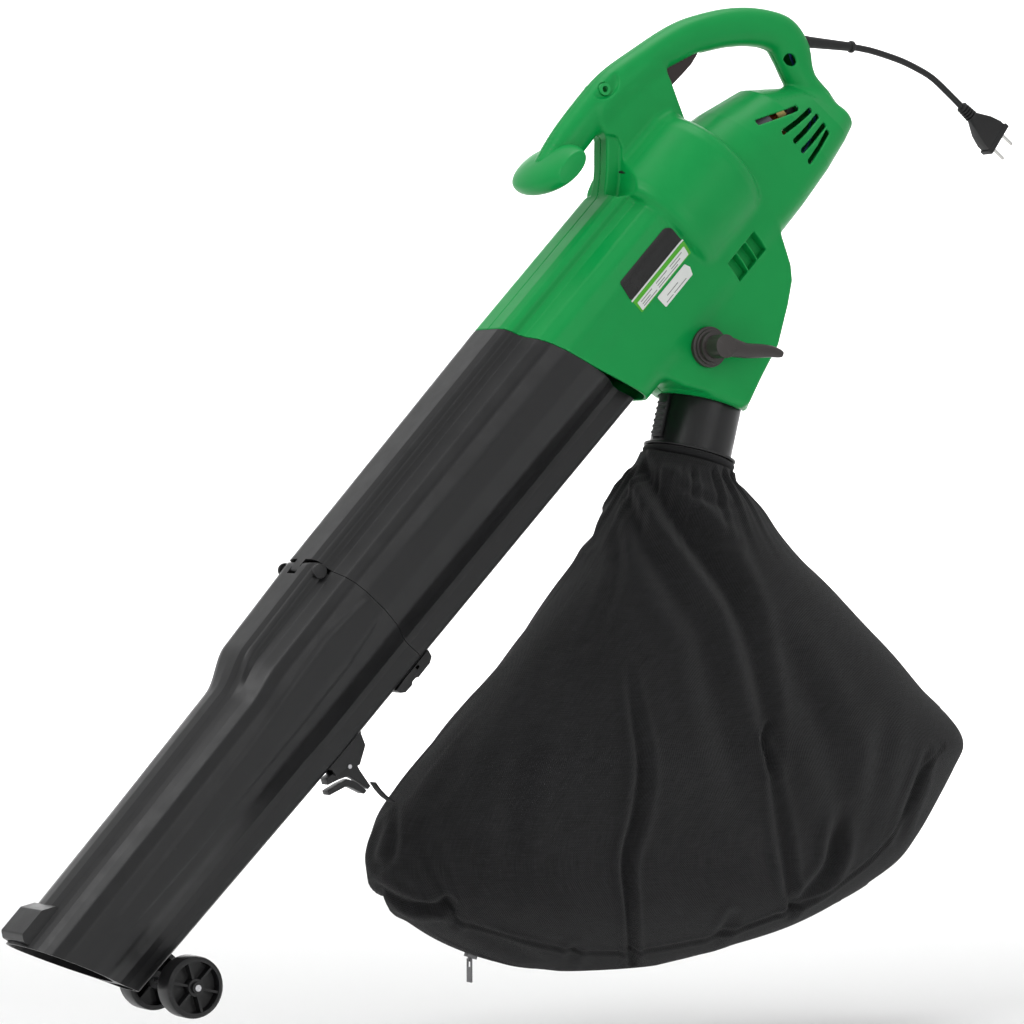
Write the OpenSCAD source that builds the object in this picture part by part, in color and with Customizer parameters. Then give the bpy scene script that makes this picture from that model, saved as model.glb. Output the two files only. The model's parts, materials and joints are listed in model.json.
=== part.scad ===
// Electric leaf vacuum and mulcher with a folding two-piece suction tube,
// a transverse front grip, a rear loop handle, a debris bag and a short mains lead.
// All sizes in millimetres. +Z up, +X towards the motor end, -Y towards the selector lever.
// The machine hangs from the strap eyelet, which is the origin.

/* [Hanging attitude] */
// Angle of the suction tube above the horizontal
tilt = 46.3; // [46:0.1:46.6]

/* [Housing] */
// Wall thickness of the two housing shells
wall = 2.8; // [2.4:0.1:3.2]
// Radius of the bulge around the fan
fan_bulge_r = 75; // [73:0.5:76]
// Width of the flat fan and outlet housing
fan_box_w = 100; // [96:1:102]

/* [Strap eyelet] */
// Radius of the hole for the strap hook
eye_r = 3.2; // [3:0.1:4]
// Overall length of the eyelet sleeve
eye_len = 30; // [28:1:32]

/* [Fan and motor] */
// Radius of the shredding impeller
impeller_r = 52; // [46:1:54]
// Number of impeller blades
blades = 8; // [6:1:12]
// Radius of the motor shaft
shaft_r = 4; // [3.5:0.1:4]

/* [Wheels] */
// Outer radius of each wheel
wheel_r = 28.5; // [26:0.5:30]
// Width of each wheel
wheel_w = 24; // [20:1:25]
// Radius of the wheel axle
axle_r = 3; // [2.5:0.1:3.2]

/* [Bag outlet] */
// Outer radius of the bag adapter
adapter_r = 41; // [40:0.2:41]

/* [Mains lead] */
// Diameter of the mains lead
lead_d = 6.8; // [6:0.1:7]

/* [Hidden] */

$fn = 48;
e = 0.01;
eye_a = 364;   // eyelet position along the tube axis
eye_b = 213;   // and across it, towards the handle
motor_b = 58;  // motor axis
bulge_b = 76;  // centre of the fan bulge
lever_at = [250, -29];
hinge_at = [-199, 129];
wheel_at = [-566, -31];
outlet_at = [230.8, -83.4];
outlet_tilt = 14.5;  // lean of the bag outlet from the vertical
GREEN = [0.02, 0.62, 0.29];
BLACK = [0.14, 0.14, 0.145];

// the machine frame (x along the tube, z across it) placed in the hanging frame
module place() rotate([0, -tilt, 0]) translate([-eye_a, 0, -eye_b]) children();
// the outlet frame: origin where the outlet leaves the housing, z up the outlet
module outlet() translate([outlet_x(), 0, outlet_z()]) rotate([0, outlet_tilt, 0]) children();
function outlet_x() = (outlet_at[0] - eye_a) * cos(tilt) - (outlet_at[1] - eye_b) * sin(tilt);
function outlet_z() = (outlet_at[0] - eye_a) * sin(tilt) + (outlet_at[1] - eye_b) * cos(tilt);
// the outlet frame seen from inside the machine frame
module outlet_local() translate([outlet_at[0], 0, outlet_at[1]]) rotate([0, tilt + outlet_tilt, 0]) children();

// --- shared shapes ---
module bar_y(a, b, r, y0, y1, fn = 48) translate([a, y1, b]) rotate([90, 0, 0]) cylinder(r = r, h = y1 - y0, $fn = fn);
module bar_x(a, b, r, h, y = 0, fn = 48) translate([a, y, b]) rotate([0, 90, 0]) cylinder(r = r, h = h, $fn = fn);
module plate_y(P, y0, y1) translate([0, y1, 0]) rotate([90, 0, 0]) linear_extrude(y1 - y0) polygon(P);
module slot_y(p, q, r, y0, y1) hull() { bar_y(p[0], p[1], r, y0, y1, 16); bar_y(q[0], q[1], r, y0, y1, 16); }

// closed skin through a list of rings that all have the same number of points
module loft(R) {
  n = len(R[0]); m = len(R);
  c0 = centre(R[0]); c1 = centre(R[m - 1]);
  turn = sum3([for (i = [0:n - 1]) cross(R[0][i] - c0, R[0][(i + 1) % n] - c0)], n - 1) * (centre(R[1]) - c0);
  faces = concat(
      [for (i = [0:n - 1]) [m * n, (i + 1) % n, i]],
      [for (i = [0:n - 1]) [m * n + 1, (m - 1) * n + i, (m - 1) * n + (i + 1) % n]],
      [for (j = [0:m - 2]) for (i = [0:n - 1]) each [
        [j * n + i, j * n + (i + 1) % n, (j + 1) * n + (i + 1) % n],
        [j * n + i, (j + 1) * n + (i + 1) % n, (j + 1) * n + i]]]);
  polyhedron(points = concat([for (r = R) for (p = r) p], [c0, c1]),
    faces = turn > 0 ? [for (f = faces) [f[0], f[2], f[1]]] : faces, convexity = 8);
}
function centre(r) = sum3(r, len(r) - 1) / len(r);
function sum3(v, i) = i < 0 ? [0, 0, 0] : v[i] + sum3(v, i - 1);
// a full ring from a half profile of [half width, height], standing on the plane x = a0 + k * height
function ring(H, a0, k = 0) = concat([for (p = H) [a0 + k * p[1], -p[0], p[1]]],
  [for (i = [len(H) - 2:-1:1]) [a0 + k * H[i][1], H[i][0], H[i][1]]]);
// a half profile grown outwards from a centre height
function grow(H, d, c) = [for (p = H) let (v = [p[0], p[1] - c], n = norm(v)) [p[0] == 0 ? 0 : p[0] + d * v[0] / n, p[1] + d * v[1] / n]];
function mix(A, B, t) = [for (i = [0:len(A) - 1]) A[i] * (1 - t) + B[i] * t];
function curve(p0, p1, p2, p3, t) = 0.5 * (2 * p1 + (p2 - p0) * t + (2 * p0 - 5 * p1 + 4 * p2 - p3) * t * t + (3 * p1 - p0 - 3 * p2 + p3) * t * t * t);
function smooth(P, n) = [for (i = [0:len(P) - 2]) for (k = [0:n - 1])
    curve(P[max(i - 1, 0)], P[i], P[i + 1], P[min(i + 2, len(P) - 1)], k / n), P[len(P) - 1]];
function unit(v) = v / norm(v);
function tangent(P, i) = unit(P[min(i + 1, len(P) - 1)] - P[max(i - 1, 0)]);
// a tube in the x-z plane; each station is [x, z, half height in the plane, half width across it]
function sweep_xz(P, d, sides, power = 1) = [for (i = [0:len(P) - 1])
    let (t = unit([P[min(i + 1, len(P) - 1)][0] - P[max(i - 1, 0)][0], P[min(i + 1, len(P) - 1)][1] - P[max(i - 1, 0)][1]]), n = [-t[1], t[0]])
    [for (k = [0:sides - 1]) let (q = 360 * k / sides, c = cos(q), s = sin(q),
        cc = sign(c) * pow(abs(c), power), ss = sign(s) * pow(abs(s), power))
      [P[i][0] + n[0] * (P[i][2] - d) * cc, -(P[i][3] - d) * ss, P[i][1] + n[1] * (P[i][2] - d) * cc]]];

// --- profiles of the ducts: [half width, height] from the bottom to the top ---
TUBE_A = [[0, -19], [15, -19], [21, -15], [23, -9], [23, 4], [27, 13], [40, 25], [50, 38], [58, 62], [62, 88], [59, 106], [50, 116], [36, 122], [32, 127], [32, 134], [28, 139], [20, 141], [0, 141]];
TUBE_B = [[0, -16], [13, -16], [19, -12], [21, -6], [21, 6], [24, 14], [34, 26], [43, 38], [52, 62], [55, 88], [53, 102], [46, 111], [34, 118], [30, 123], [30, 130], [26, 135], [18, 137], [0, 137]];
TUBE_C = [[0, -15], [13, -15], [19, -11], [21, -5], [21, 6], [24, 14], [33, 26], [42, 38], [50, 60], [53, 84], [51, 98], [45, 108], [34, 115], [29, 120], [29, 126], [25, 131], [17, 133], [0, 133]];
TUBE_D = [[0, -14], [13, -14], [18, -10], [20, -4], [20, 7], [23, 15], [32, 27], [41, 38], [48, 58], [51, 78], [49, 92], [44, 101], [37, 107], [31, 111], [26, 114], [20, 117], [12, 119], [0, 120]];
TUBE_E = [[0, -7], [12, -7], [17, -4], [19, 2], [20, 10], [23, 18], [31, 29], [39, 39], [46, 56], [48, 72], [47, 85], [42, 95], [36, 101], [31, 105], [26, 108], [20, 111], [12, 113], [0, 114]];
DUCT_A = [[0, 13], [14, 14], [30, 23], [46, 37], [55, 62], [59, 88], [56, 104], [48, 113.5], [34, 119.5], [29.5, 125], [29.5, 133.5], [26.5, 137], [19, 138.6], [0, 138.6]];
DUCT_B = [[0, 14], [12, 15], [26, 24], [39, 38], [49, 62], [52.4, 88], [50, 101], [44, 109], [33, 115.4], [27.6, 121], [27.6, 129.5], [24.5, 133], [17, 134.6], [0, 134.6]];
DUCT_D = [[0, 15], [12, 16], [25, 25], [37.5, 38], [45.4, 58], [48.4, 78], [46.4, 91], [42, 99.4], [35.5, 105], [30, 109], [25, 112], [19, 114.8], [11.5, 116.6], [0, 117.5]];
DUCT_E = [[0, 18], [12, 19], [24, 28], [35.6, 40], [43.4, 56], [45.4, 72], [44.4, 84.4], [40, 93.6], [34.6, 99.4], [30, 103], [25, 106], [19, 108.8], [11.5, 110.6], [0, 111.5]];
DUCT_C = [[0, 14], [12, 15], [25, 24], [38, 38], [47, 60], [50.4, 84], [48.4, 97], [43, 105.6], [33, 112.2], [26.6, 118], [26.6, 125.4], [23.6, 129], [16, 130.6], [0, 130.6]];
BLOW_A = [[0, -16], [14, -16], [19, -12], [20, -8], [20, 3], [14, 9], [0, 9]];
BLOW_B = [[0, -13], [12, -13], [17, -10], [18, -5], [18, 5], [13, 10], [0, 10]];
BLOW_E = [[0, -4], [10, -4], [14, -2], [16, 3], [16, 9], [11, 13], [0, 13]];
GREEN_JOINT = [161.6, -0.387];
TUBE_JOINT = [-178, -0.1];
MOUTH = [-599, -0.395];

// --- green housing ---
HANDLE = [[270, 203, 12, 13], [300, 202, 18, 16], [340, 204, 18.4, 17], [380, 203, 18.4, 17], [428, 193, 17.5, 17], [458, 184, 18.4, 17], [479, 176, 18.6, 17], [498.5, 165, 19, 17],
  [519, 151.5, 19.3, 17], [537.5, 136, 19.4, 17], [553.5, 118, 19.4, 17], [562.5, 100, 20.5, 17], [560, 81, 21, 16], [552, 64, 18, 15], [547, 48, 16, 16], [545, 26, 18, 18]];
WEB = [[292, 120], [296, 143], [318, 164], [332, 177], [334, 186], [345, 208], [420, 198], [431, 178], [427, 165], [420, 148], [411, 126], [405, 100], [330, 90]];
BOX = [[184, 14], [194, -14], [205, -38], [226, -72], [240, -100], [246, -104], [279, -96], [313, -89], [350, -70], [371, -57], [381, -45], [392, -22], [399, 0], [404, 40], [390, 90], [300, 96], [200, 60]];
MOTOR = [[395, 62, 58, 8, 25, 30], [440, 57, 53, 6, 24, 28], [490, 49, 45, 5, 20, 26], [530, 30, 30, 3, 14, 22], [552, 12, 20, 0, 8, 18], [561, 4, 12, -2, 5, 14]];
VENTS = [[[456, 78], [503, 53]], [[469, 52], [515, 39]], [[473, 36], [517, 29]], [[473, 23], [515, 18]], [[471, 10], [512, 11]]];
SCREWS = [[322, 198, 17], [398, 197, 17], [528, 134, 17], [549, 64, 15], [395, 16, 50], [372, -36, 50], [312, -78, 50], [204, -18, 50]];

module motor_disc(s, d) {
  translate([s[0], 0, s[1]]) rotate([0, 90, 0]) cylinder(r = s[2] - d, h = 0.1, $fn = 30);
  for (y = [-s[4], s[4]]) translate([s[0], y, s[3]]) rotate([0, 90, 0]) cylinder(r = s[5] - d, h = 0.1, $fn = 16);
}
module fan_bulge(d) bar_profile([[0, d], [66 - d, d], [fan_bulge_r - 2 - d, 5 + d], [fan_bulge_r - d, 15], [fan_bulge_r - d, 86], [fan_bulge_r - 3 - d, 97 - d], [65 - d, 104 - d], [0, 104 - d]]);
module bar_profile(P) translate([300, 0, bulge_b]) rotate([0, 90, 0]) rotate_extrude($fn = 44) polygon(P);
module fan_box(d) {
  w = fan_box_w / 2;
  translate([0, w - 5 - d, 0]) rotate([90, 0, 0]) linear_extrude(2 * (w - 5 - d)) offset(delta = -d) polygon(BOX);
  translate([0, w - d, 0]) rotate([90, 0, 0]) linear_extrude(2 * (w - d)) offset(delta = -5 - d) polygon(BOX);
  translate([0, w - 2 - d, 0]) rotate([90, 0, 0]) linear_extrude(2 * (w - 2 - d)) offset(delta = -2 - d) polygon(BOX);
}
module body_form(d) {
  loft([ring(grow(TUBE_A, -d, 66), GREEN_JOINT[0] + (d > 0 ? -1 : 0.4), GREEN_JOINT[1]), ring(grow(TUBE_A, -d, 66), 230), ring(grow(TUBE_A, -d, 66), 345)]);
  fan_bulge(d);
  for (i = [0:len(MOTOR) - 2]) hull() { motor_disc(MOTOR[i] - [0, 0, 0, 0, 0, 0], d); translate([i == len(MOTOR) - 2 ? -d : 0, 0, 0]) motor_disc(MOTOR[i + 1], d); }
  fan_box(d);
  outlet_local() translate([0, 0, d > 0 ? 3 : 0]) cylinder(r = 47.5 - d, h = 43, $fn = 36);
  loft(sweep_xz(HANDLE, d, 16, 0.86));
  translate([0, 15 - d, 0]) rotate([90, 0, 0]) linear_extrude(30 - 2 * d) offset(delta = -d) polygon(WEB);
  hull() { translate([350, 0, 150]) cube([80 - 2 * d, 2 * (14 - d), 2], center = true); translate([350, 0, 128]) cube([98 - 2 * d, 2 * (26 - d), 10], center = true); }
}
// a screw's boss and holes; side is -1 on the shell with the thread and +1 on the shell with the head
module boss(s, side) {
  if (side > 0) bar_y(s[0], s[1], 5, 0, s[2] - 1, 12);
  else bar_y(s[0], s[1], 5, -(s[2] - 1), 0, 12);
}
module boss_holes(s, side) {
  if (side > 0) { bar_y(s[0], s[1], 2, -1, s[2] + 6, 12); bar_y(s[0], s[1], 4, s[2] - 5, s[2] + 20, 16); }
  else bar_y(s[0], s[1], 1.7, -11, 1, 12);
}
module shell(side) difference() {
  union() {
    difference() { body_form(0); body_form(wall); }
    intersection() { body_form(0.5); for (s = SCREWS) boss(s, side); }
    intersection() { body_form(0.5); bar_y(eye_a, eye_b - 2, 10, -16, 16, 20); }
    // recess floor and its two ribs, level with the lever side
    intersection() { body_form(0.5); for (y = [-1, 1]) translate([346, y * 44.5, 0.5]) cube([52, 13, 32], center = true); }
  }
  // other shell's half
  translate([-100, side > 0 ? -200 : -0.05, -200]) cube([800, 200.05, 500]);
  // inside the tube joint the suction duct is open
  loft([ring(grow(DUCT_A, 1.4, 68), 161.6 - 20, GREEN_JOINT[1]), ring(grow(DUCT_A, 1.4, 68), 185)]);
  // outlet bore
  outlet_local() translate([0, 0, -30]) cylinder(r = adapter_r + 0.9, h = 62, $fn = 48);
  // motor cooling slots
  for (v = VENTS) slot_y(v[0], v[1], 2.6, side > 0 ? 24 : -90, side > 0 ? 90 : -24);
  // ribbed recess below the fan bulge
  for (i = [0:2]) translate([324 + i * 15.5, side > 0 ? 42 : -62, -11.5]) cube([13, 20, 24]);
  for (s = SCREWS) boss_holes(s, side);
  bar_y(eye_a, eye_b, 6.15, -40, 40, 32);
  bar_y(lever_at[0], lever_at[1], 9.2, -80, 80, 32);
  // trigger mouth
  plate_y([[421, 154], [478, 154], [482, 172], [474, 192], [446, 199], [423, 196]], -7.4, 7.4);
  bar_y(468, 170, 2.1, -40, 40, 16);
  // hole for the cord's sleeve
  translate([581.4, 0, 75]) rotate([0, tilt + 91.8, 0]) cylinder(r = 6.6, h = 60, center = true, $fn = 24);
  // cord-keeping slot through the rear strut
  slot_y([546, 85], [549, 76], 4.5, -60, 60);
  // room for the transverse grip
  front_grip_form(0.3);
}
module front_grip_form(g) loft([for (t = [-90:15:90]) let (c = max(cos(t), 0.06), y = (52 + g) * sin(t))
    [for (k = [0:19]) [268 + (31 * pow(c, 0.8) + g) * cos(18 * k), y, 198 - (15 * pow(c, 0.8) + g) * sin(18 * k)]]]);

module housing_left() color(GREEN) place() shell(-1);
module housing_right() color(GREEN) place() shell(1);
module front_grip() color(GREEN) place() front_grip_form(0);

module strap_eyelet() color(GREEN * 0.9) place() difference() {
  union() {
    bar_y(eye_a, eye_b, 6, -eye_len / 2, eye_len / 2);
    for (y = [-eye_len / 2, eye_len / 2 - 1.2]) bar_y(eye_a, eye_b, 6, y, y + 1.2);
  }
  bar_y(eye_a, eye_b, eye_r, -30, 30);
}

module housing_screws() color([0.5, 0.5, 0.52]) place() for (s = SCREWS) difference() {
  union() {
    bar_y(s[0], s[1], 3.6, s[2] - 4.8, s[2] - 2.6);
    bar_y(s[0], s[1], 1.55, -10, s[2] - 4.8);
  }
  translate([s[0] - 0.5, s[2] - 3.8, s[1] - 2.2]) cube([1, 3, 4.4]);
  translate([s[0] - 2.2, s[2] - 3.8, s[1] - 0.5]) cube([4.4, 3, 1]);
}

// --- switch and trigger ---
TRIGGER = [[424, 160], [429, 158.5], [445, 157.5], [460, 157], [473, 159], [477, 166], [473, 175], [450, 181], [434, 184], [425, 182]];
module switch_body() color([0.2, 0.2, 0.2]) place() translate([447, 0, 193.4]) rotate([0, 17, 0]) difference() {
  cube([30, 18, 9], center = true);
  for (x = [-10, 10]) translate([x, 0, 0]) rotate([90, 0, 0]) cylinder(r = 1.5, h = 30, center = true, $fn = 16);
}
module trigger() color([0.2, 0.16, 0.16]) place() difference() {
  plate_y(TRIGGER, -6.6, 6.6);
  bar_y(468, 170, 2.05, -10, 10);
}
module trigger_pin() color([0.7, 0.7, 0.72]) place() bar_y(468, 170, 2, -13, 13);
module trigger_spring() color([0.75, 0.75, 0.78]) place() translate([431, 0, 184.6]) loft(coil(2.6, 5.4, 4, 0.45));
function coil(r, h, turns, w) = let (N = turns * 12) [for (i = [0:N]) let (q = 360 * turns * i / N, c = [r * cos(q), r * sin(q), w + (h - 2 * w) * i / N])
  [for (k = [0:5]) c + w * cos(60 * k) * [cos(q), sin(q), 0] - w * sin(60 * k) * [0, 0, 1]]];
WIRE = [[466, 191, 1.2, 1.2], [484, 182, 1.2, 1.2], [508, 169, 1.2, 1.2], [530, 152, 1.2, 1.2], [549, 132, 1.2, 1.2], [562, 108, 1.2, 1.2], [565, 90, 1.2, 1.2], [558, 72, 1.2, 1.2], [553, 54, 1.2, 1.2], [545, 34, 1.2, 1.2], [528, 12, 1.2, 1.2], [500, 2, 1.2, 1.2], [472, 0, 1.2, 1.2]];
module inner_wires() color([0.1, 0.2, 0.6]) place() for (y = [-4, 4]) translate([0, y, 0]) loft(sweep_xz(smooth(WIRE, 2), 0, 8));
module capacitor() color([0.75, 0.65, 0.2]) place() { bar_y(457, -10.4, 8, -15, 15); bar_y(457, -10.4, 6.5, 15, 16); }

// --- motor, all on one axis ---
module stator_core() color([0.45, 0.45, 0.47]) place() difference() {
  bar_x(426, motor_b, 34, 50);
  bar_x(425, motor_b, 22.8, 52);
  for (s = [-1, 1]) translate([425, s * 27 - 3, motor_b - 8]) cube([52, 6, 16]);
  for (s = [-1, 1]) for (y = [-1, 1]) translate([425, y * 14 - 2, motor_b + s * 27 - 2]) cube([52, 4, 4]);
}
module coil_end(x, w) translate([x, 0, motor_b]) rotate([0, 90, 0]) for (q = [-55, 125]) rotate([0, 0, q]) rotate_extrude(angle = 110) translate([24, 0]) square([7, w]);
module field_coils() color([0.72, 0.38, 0.15]) place() { coil_end(418, 7.8); coil_end(476.2, 7.8); }
module rear_bearing_bridge() color([0.3, 0.3, 0.3]) place() difference() {
  union() {
    translate([498.5, -29.5, motor_b - 9]) cube([7.5, 59, 12]);
    bar_x(498.5, motor_b, 14, 7.5);
  }
  bar_x(497, motor_b, 11.02, 10);
}
module brush_holders() color([0.7, 0.58, 0.25]) place() for (s = [-1, 1]) difference() {
  translate([486.5, s > 0 ? 12.5 : -28.5, motor_b - 4.5]) cube([9, 16, 9]);
  translate([488.4, s > 0 ? 10 : -27, motor_b - 2.6]) cube([5.2, 17, 5.2]);
}
module carbon_brushes() color([0.12, 0.12, 0.12]) place() for (s = [-1, 1]) translate([488.5, s > 0 ? 11.1 : -24.1, motor_b - 2.5]) cube([5, 13, 5]);
module motor_mount_plate() color([0.25, 0.25, 0.25]) place() difference() {
  union() {
    bar_x(377, bulge_b, fan_bulge_r - wall - 1.2, 3, 0, 64);
    bar_x(377, motor_b, 15, 8);
  }
  bar_x(376, motor_b, 5.5, 10);
  bar_x(378.5, motor_b, 11.02, 8);
}
module motor_bearings() color([0.8, 0.8, 0.82]) place() for (x = [378.6, 498.8]) difference() {
  bar_x(x, motor_b, 11, 6.8);
  bar_x(x - 1, motor_b, shaft_r + 0.03, 10);
  for (f = [x - 1, x + 6.1]) translate([f, 0, motor_b]) rotate([0, 90, 0]) difference() { cylinder(r = 9, h = 1.7); cylinder(r = 6, h = 1.7); }
}
module fan_inlet_ring() color([0.2, 0.2, 0.2]) place() difference() {
  bar_x(318, bulge_b, fan_bulge_r - wall - 1.2, 2.5, 0, 64);
  bar_x(317, motor_b + 4, 44, 5);
}
module motor_shaft() color([0.75, 0.75, 0.77]) place() { bar_x(326, motor_b, shaft_r, 181); }
module armature_core() color([0.5, 0.5, 0.52]) place() difference() {
  bar_x(427, motor_b, 22, 48);
  bar_x(426, motor_b, shaft_r + 0.02, 50);
  for (i = [0:11]) translate([426, 0, motor_b]) rotate([30 * i, 0, 0]) translate([0, -1.2, 15]) cube([50, 2.4, 8]);
}
module armature_windings() color([0.75, 0.4, 0.16]) place() for (x = [418.5, 475.2]) difference() {
  bar_x(x, motor_b, 18.5, x < 450 ? 8.3 : 6);
  bar_x(x - 1, motor_b, shaft_r + 0.02, 12);
}
module commutator() color([0.72, 0.42, 0.2]) place() difference() {
  bar_x(482.4, motor_b, 11, 14);
  bar_x(481, motor_b, shaft_r + 0.02, 17);
  for (i = [0:11]) translate([481, 0, motor_b]) rotate([30 * i, 0, 0]) translate([0, -0.25, 9.6]) cube([17, 0.5, 2]);
}
module cooling_fan() color([0.2, 0.2, 0.2]) place() difference() {
  union() {
    bar_x(390, motor_b, 30, 2);
    bar_x(387, motor_b, 9, 14);
    for (i = [0:9]) translate([392, 0, motor_b]) rotate([36 * i, 0, 0]) translate([0, -0.9, 8]) cube([8, 1.8, 21]);
  }
  bar_x(380, motor_b, shaft_r + 0.02, 30);
}
module impeller() color([0.7, 0.7, 0.68]) place() difference() {
  union() {
    bar_x(368, motor_b, impeller_r, 2.5);
    bar_x(338, motor_b, 12, 36);
    for (i = [0:blades - 1]) translate([334, 0, motor_b]) rotate([360 / blades * i, 0, 0]) translate([0, -1.2, 8])
      rotate([90, 0, 90]) linear_extrude(e) polygon([[0, 0], [2.4, 0], [2.4, impeller_r - 9.5], [0, impeller_r - 9.5]]);
    for (i = [0:blades - 1]) translate([0, 0, motor_b]) rotate([360 / blades * i, 0, 0])
      plate_y([[369, 9], [343, 9], [330, 30], [330, impeller_r - 1], [369, impeller_r - 1]], -1.2, 1.2);
  }
  bar_x(320, motor_b, shaft_r + 0.02, 60);
}
module impeller_nut() color([0.7, 0.7, 0.72]) place() difference() {
  translate([331.5, 0, motor_b]) rotate([0, 90, 0]) cylinder(r = 7.5, h = 6.4, $fn = 6);
  bar_x(330, motor_b, shaft_r + 0.02, 10);
}

// --- vacuum and blow selector ---
module selector_bezel() color([0.19, 0.17, 0.165]) place() difference() {
  union() {
    bar_y(lever_at[0], lever_at[1], 20, -55, -50.1);
    bar_y(lever_at[0], lever_at[1], 17.5, -58, -55);
  }
  bar_y(lever_at[0], lever_at[1], 9.06, -70, -40);
}
LEVER = [[0, 0, 11, 6], [12, -1, 9.4, 6], [26, -3.6, 7.6, 5.6], [42, -3.6, 7, 5.2], [56, -3.8, 6, 4.8], [66, -5.5, 4.6, 4.2], [70, -6.6, 3.2, 3.4]];
module selector_lever() color([0.2, 0.18, 0.175]) place() translate([lever_at[0], 0, lever_at[1]]) rotate([0, tilt, 0]) difference() {
  union() {
    translate([0, -58.4, 0]) rotate([90, 0, 0]) cylinder(r = 15, h = 4);
    translate([0, -60, 0]) rotate([90, 0, 0]) cylinder(r = 11.5, h = 22);
    translate([0, -76, 0]) loft(sweep_xz(smooth(LEVER, 2), 0, 16, 0.8));
  }
  translate([0, -40, 0]) rotate([90, 0, 0]) cylinder(r = 5.06, h = 34);
}
module selector_shaft() color([0.22, 0.2, 0.2]) place() { bar_y(lever_at[0], lever_at[1], 9, -58.3, -44); bar_y(lever_at[0], lever_at[1], 5, -73.9, -58.3); bar_y(lever_at[0], lever_at[1], 6, -44, 44); bar_y(lever_at[0], lever_at[1], 9, 44, 52); }
module selector_flap() color([0.16, 0.16, 0.16]) place() translate([lever_at[0], 0, lever_at[1]]) rotate([0, 147, 0]) difference() {
  union() {
    translate([3, -40.5, -1.5]) cube([35, 81, 3]);
    translate([0, 40.5, 0]) rotate([90, 0, 0]) cylinder(r = 9, h = 81);
  }
  translate([0, 43, 0]) rotate([90, 0, 0]) cylinder(r = 6.06, h = 86);
}

// plain plates where the rating labels sit, on the flank of the neck
module rating_labels() color([0.9, 0.9, 0.9]) place() {
  translate([268, -61.2, 80]) rotate([4.5, 0, 0]) cube([84, 0.6, 20], center = true);
  translate([268, -59.2, 61.2]) rotate([10, 0, 0]) cube([82, 0.6, 14.5], center = true);
  translate([270, -55.6, 42.5]) rotate([16, 0, 0]) cube([46, 0.6, 14], center = true);
}

// --- suction tube ---
module upper_tube() color(BLACK) place() difference() {
  union() {
    loft([ring(TUBE_A, GREEN_JOINT[0] - 0.3, GREEN_JOINT[1]), ring(TUBE_B, TUBE_JOINT[0] + 0.3, TUBE_JOINT[1])]);
    // sleeve that enters the housing
    loft([ring(grow(DUCT_A, 1.0, 68), 161.6 - 8, GREEN_JOINT[1]), ring(grow(DUCT_A, 1.0, 68), 161.6 + 18, GREEN_JOINT[1])]);
    // hinge tongue
    plate_y([[-170, 119], [-198, 119.4], [-204, 122], [-207.6, 127], [-207.6, 131], [-204, 136], [-199, 137], [-170, 137]], -7.4, 7.4);
  }
  loft([ring(DUCT_A, 200, GREEN_JOINT[1]), ring(DUCT_A, 158, GREEN_JOINT[1]), ring(DUCT_B, -177, TUBE_JOINT[1]), ring(DUCT_B, -190, TUBE_JOINT[1])]);
  loft([ring(BLOW_A, 180, GREEN_JOINT[1]), ring(BLOW_B, -190, TUBE_JOINT[1])]);
  bar_y(hinge_at[0], hinge_at[1], 4.05, -20, 20);
}
module lower_tube() color(BLACK) place() difference() {
  union() {
    loft([ring(TUBE_B, TUBE_JOINT[0] - 0.3, TUBE_JOINT[1]), ring(TUBE_C, -296), ring(TUBE_D, -345), ring(mix(TUBE_D, TUBE_E, 0.55), -480), ring(TUBE_E, MOUTH[0], MOUTH[1])]);
    // raised lip on top of the mouth
    plate_y([[-594, 108], [-597, 114], [-609, 122], [-637, 122], [-641, 116], [-639, 108]], -22, 22);
  }
  loft([ring(DUCT_B, -160, TUBE_JOINT[1]), ring(DUCT_B, -182, TUBE_JOINT[1]), ring(DUCT_C, -293), ring(DUCT_D, -344), ring(mix(DUCT_D, DUCT_E, 0.55), -480), ring(DUCT_E, MOUTH[0] - 3, MOUTH[1]), ring(DUCT_E, MOUTH[0] - 40, MOUTH[1])]);
  loft([ring(BLOW_B, -160, TUBE_JOINT[1]), ring(mix(BLOW_B, BLOW_E, 0.5), -380), ring(BLOW_E, MOUTH[0] - 30, MOUTH[1])]);
  // room for the hinge tongue and for the rail's corner as the tube folds
  plate_y([[-150, 118.4], [-209, 118.4], [-209, 145], [-150, 145]], -7.7, 7.7);
  plate_y([[-150, 119.5], [-195.5, 119.5], [-194.2, 122.6], [-192, 125.2], [-191.2, 129], [-192, 132.8], [-194.2, 135.4], [-197.2, 136.8], [-197.4, 145], [-150, 145]], -40, 40);
  bar_y(hinge_at[0], hinge_at[1], 4, -40, 40);
}
module tube_hinge_pin() color([0.17, 0.17, 0.175]) place() { bar_y(hinge_at[0], hinge_at[1], 3.98, -31.2, 31.2); for (y = [-35.2, 31.2]) bar_y(hinge_at[0], hinge_at[1], 7, y, y + 4); }
LATCH = [[-164, -16.6], [-166, -24], [-172, -27], [-190, -27], [-193, -25], [-198, -25], [-200, -27], [-210, -26.4], [-214, -23], [-216, -17.4]];
module tube_latch() color([0.12, 0.12, 0.125]) place() difference() {
  plate_y(concat(LATCH, [[-200, -16.6], [-190, -16.9]]), -13, 13);
  translate([-186, -14, -21]) cube([4, 28, 3]);
}

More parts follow.
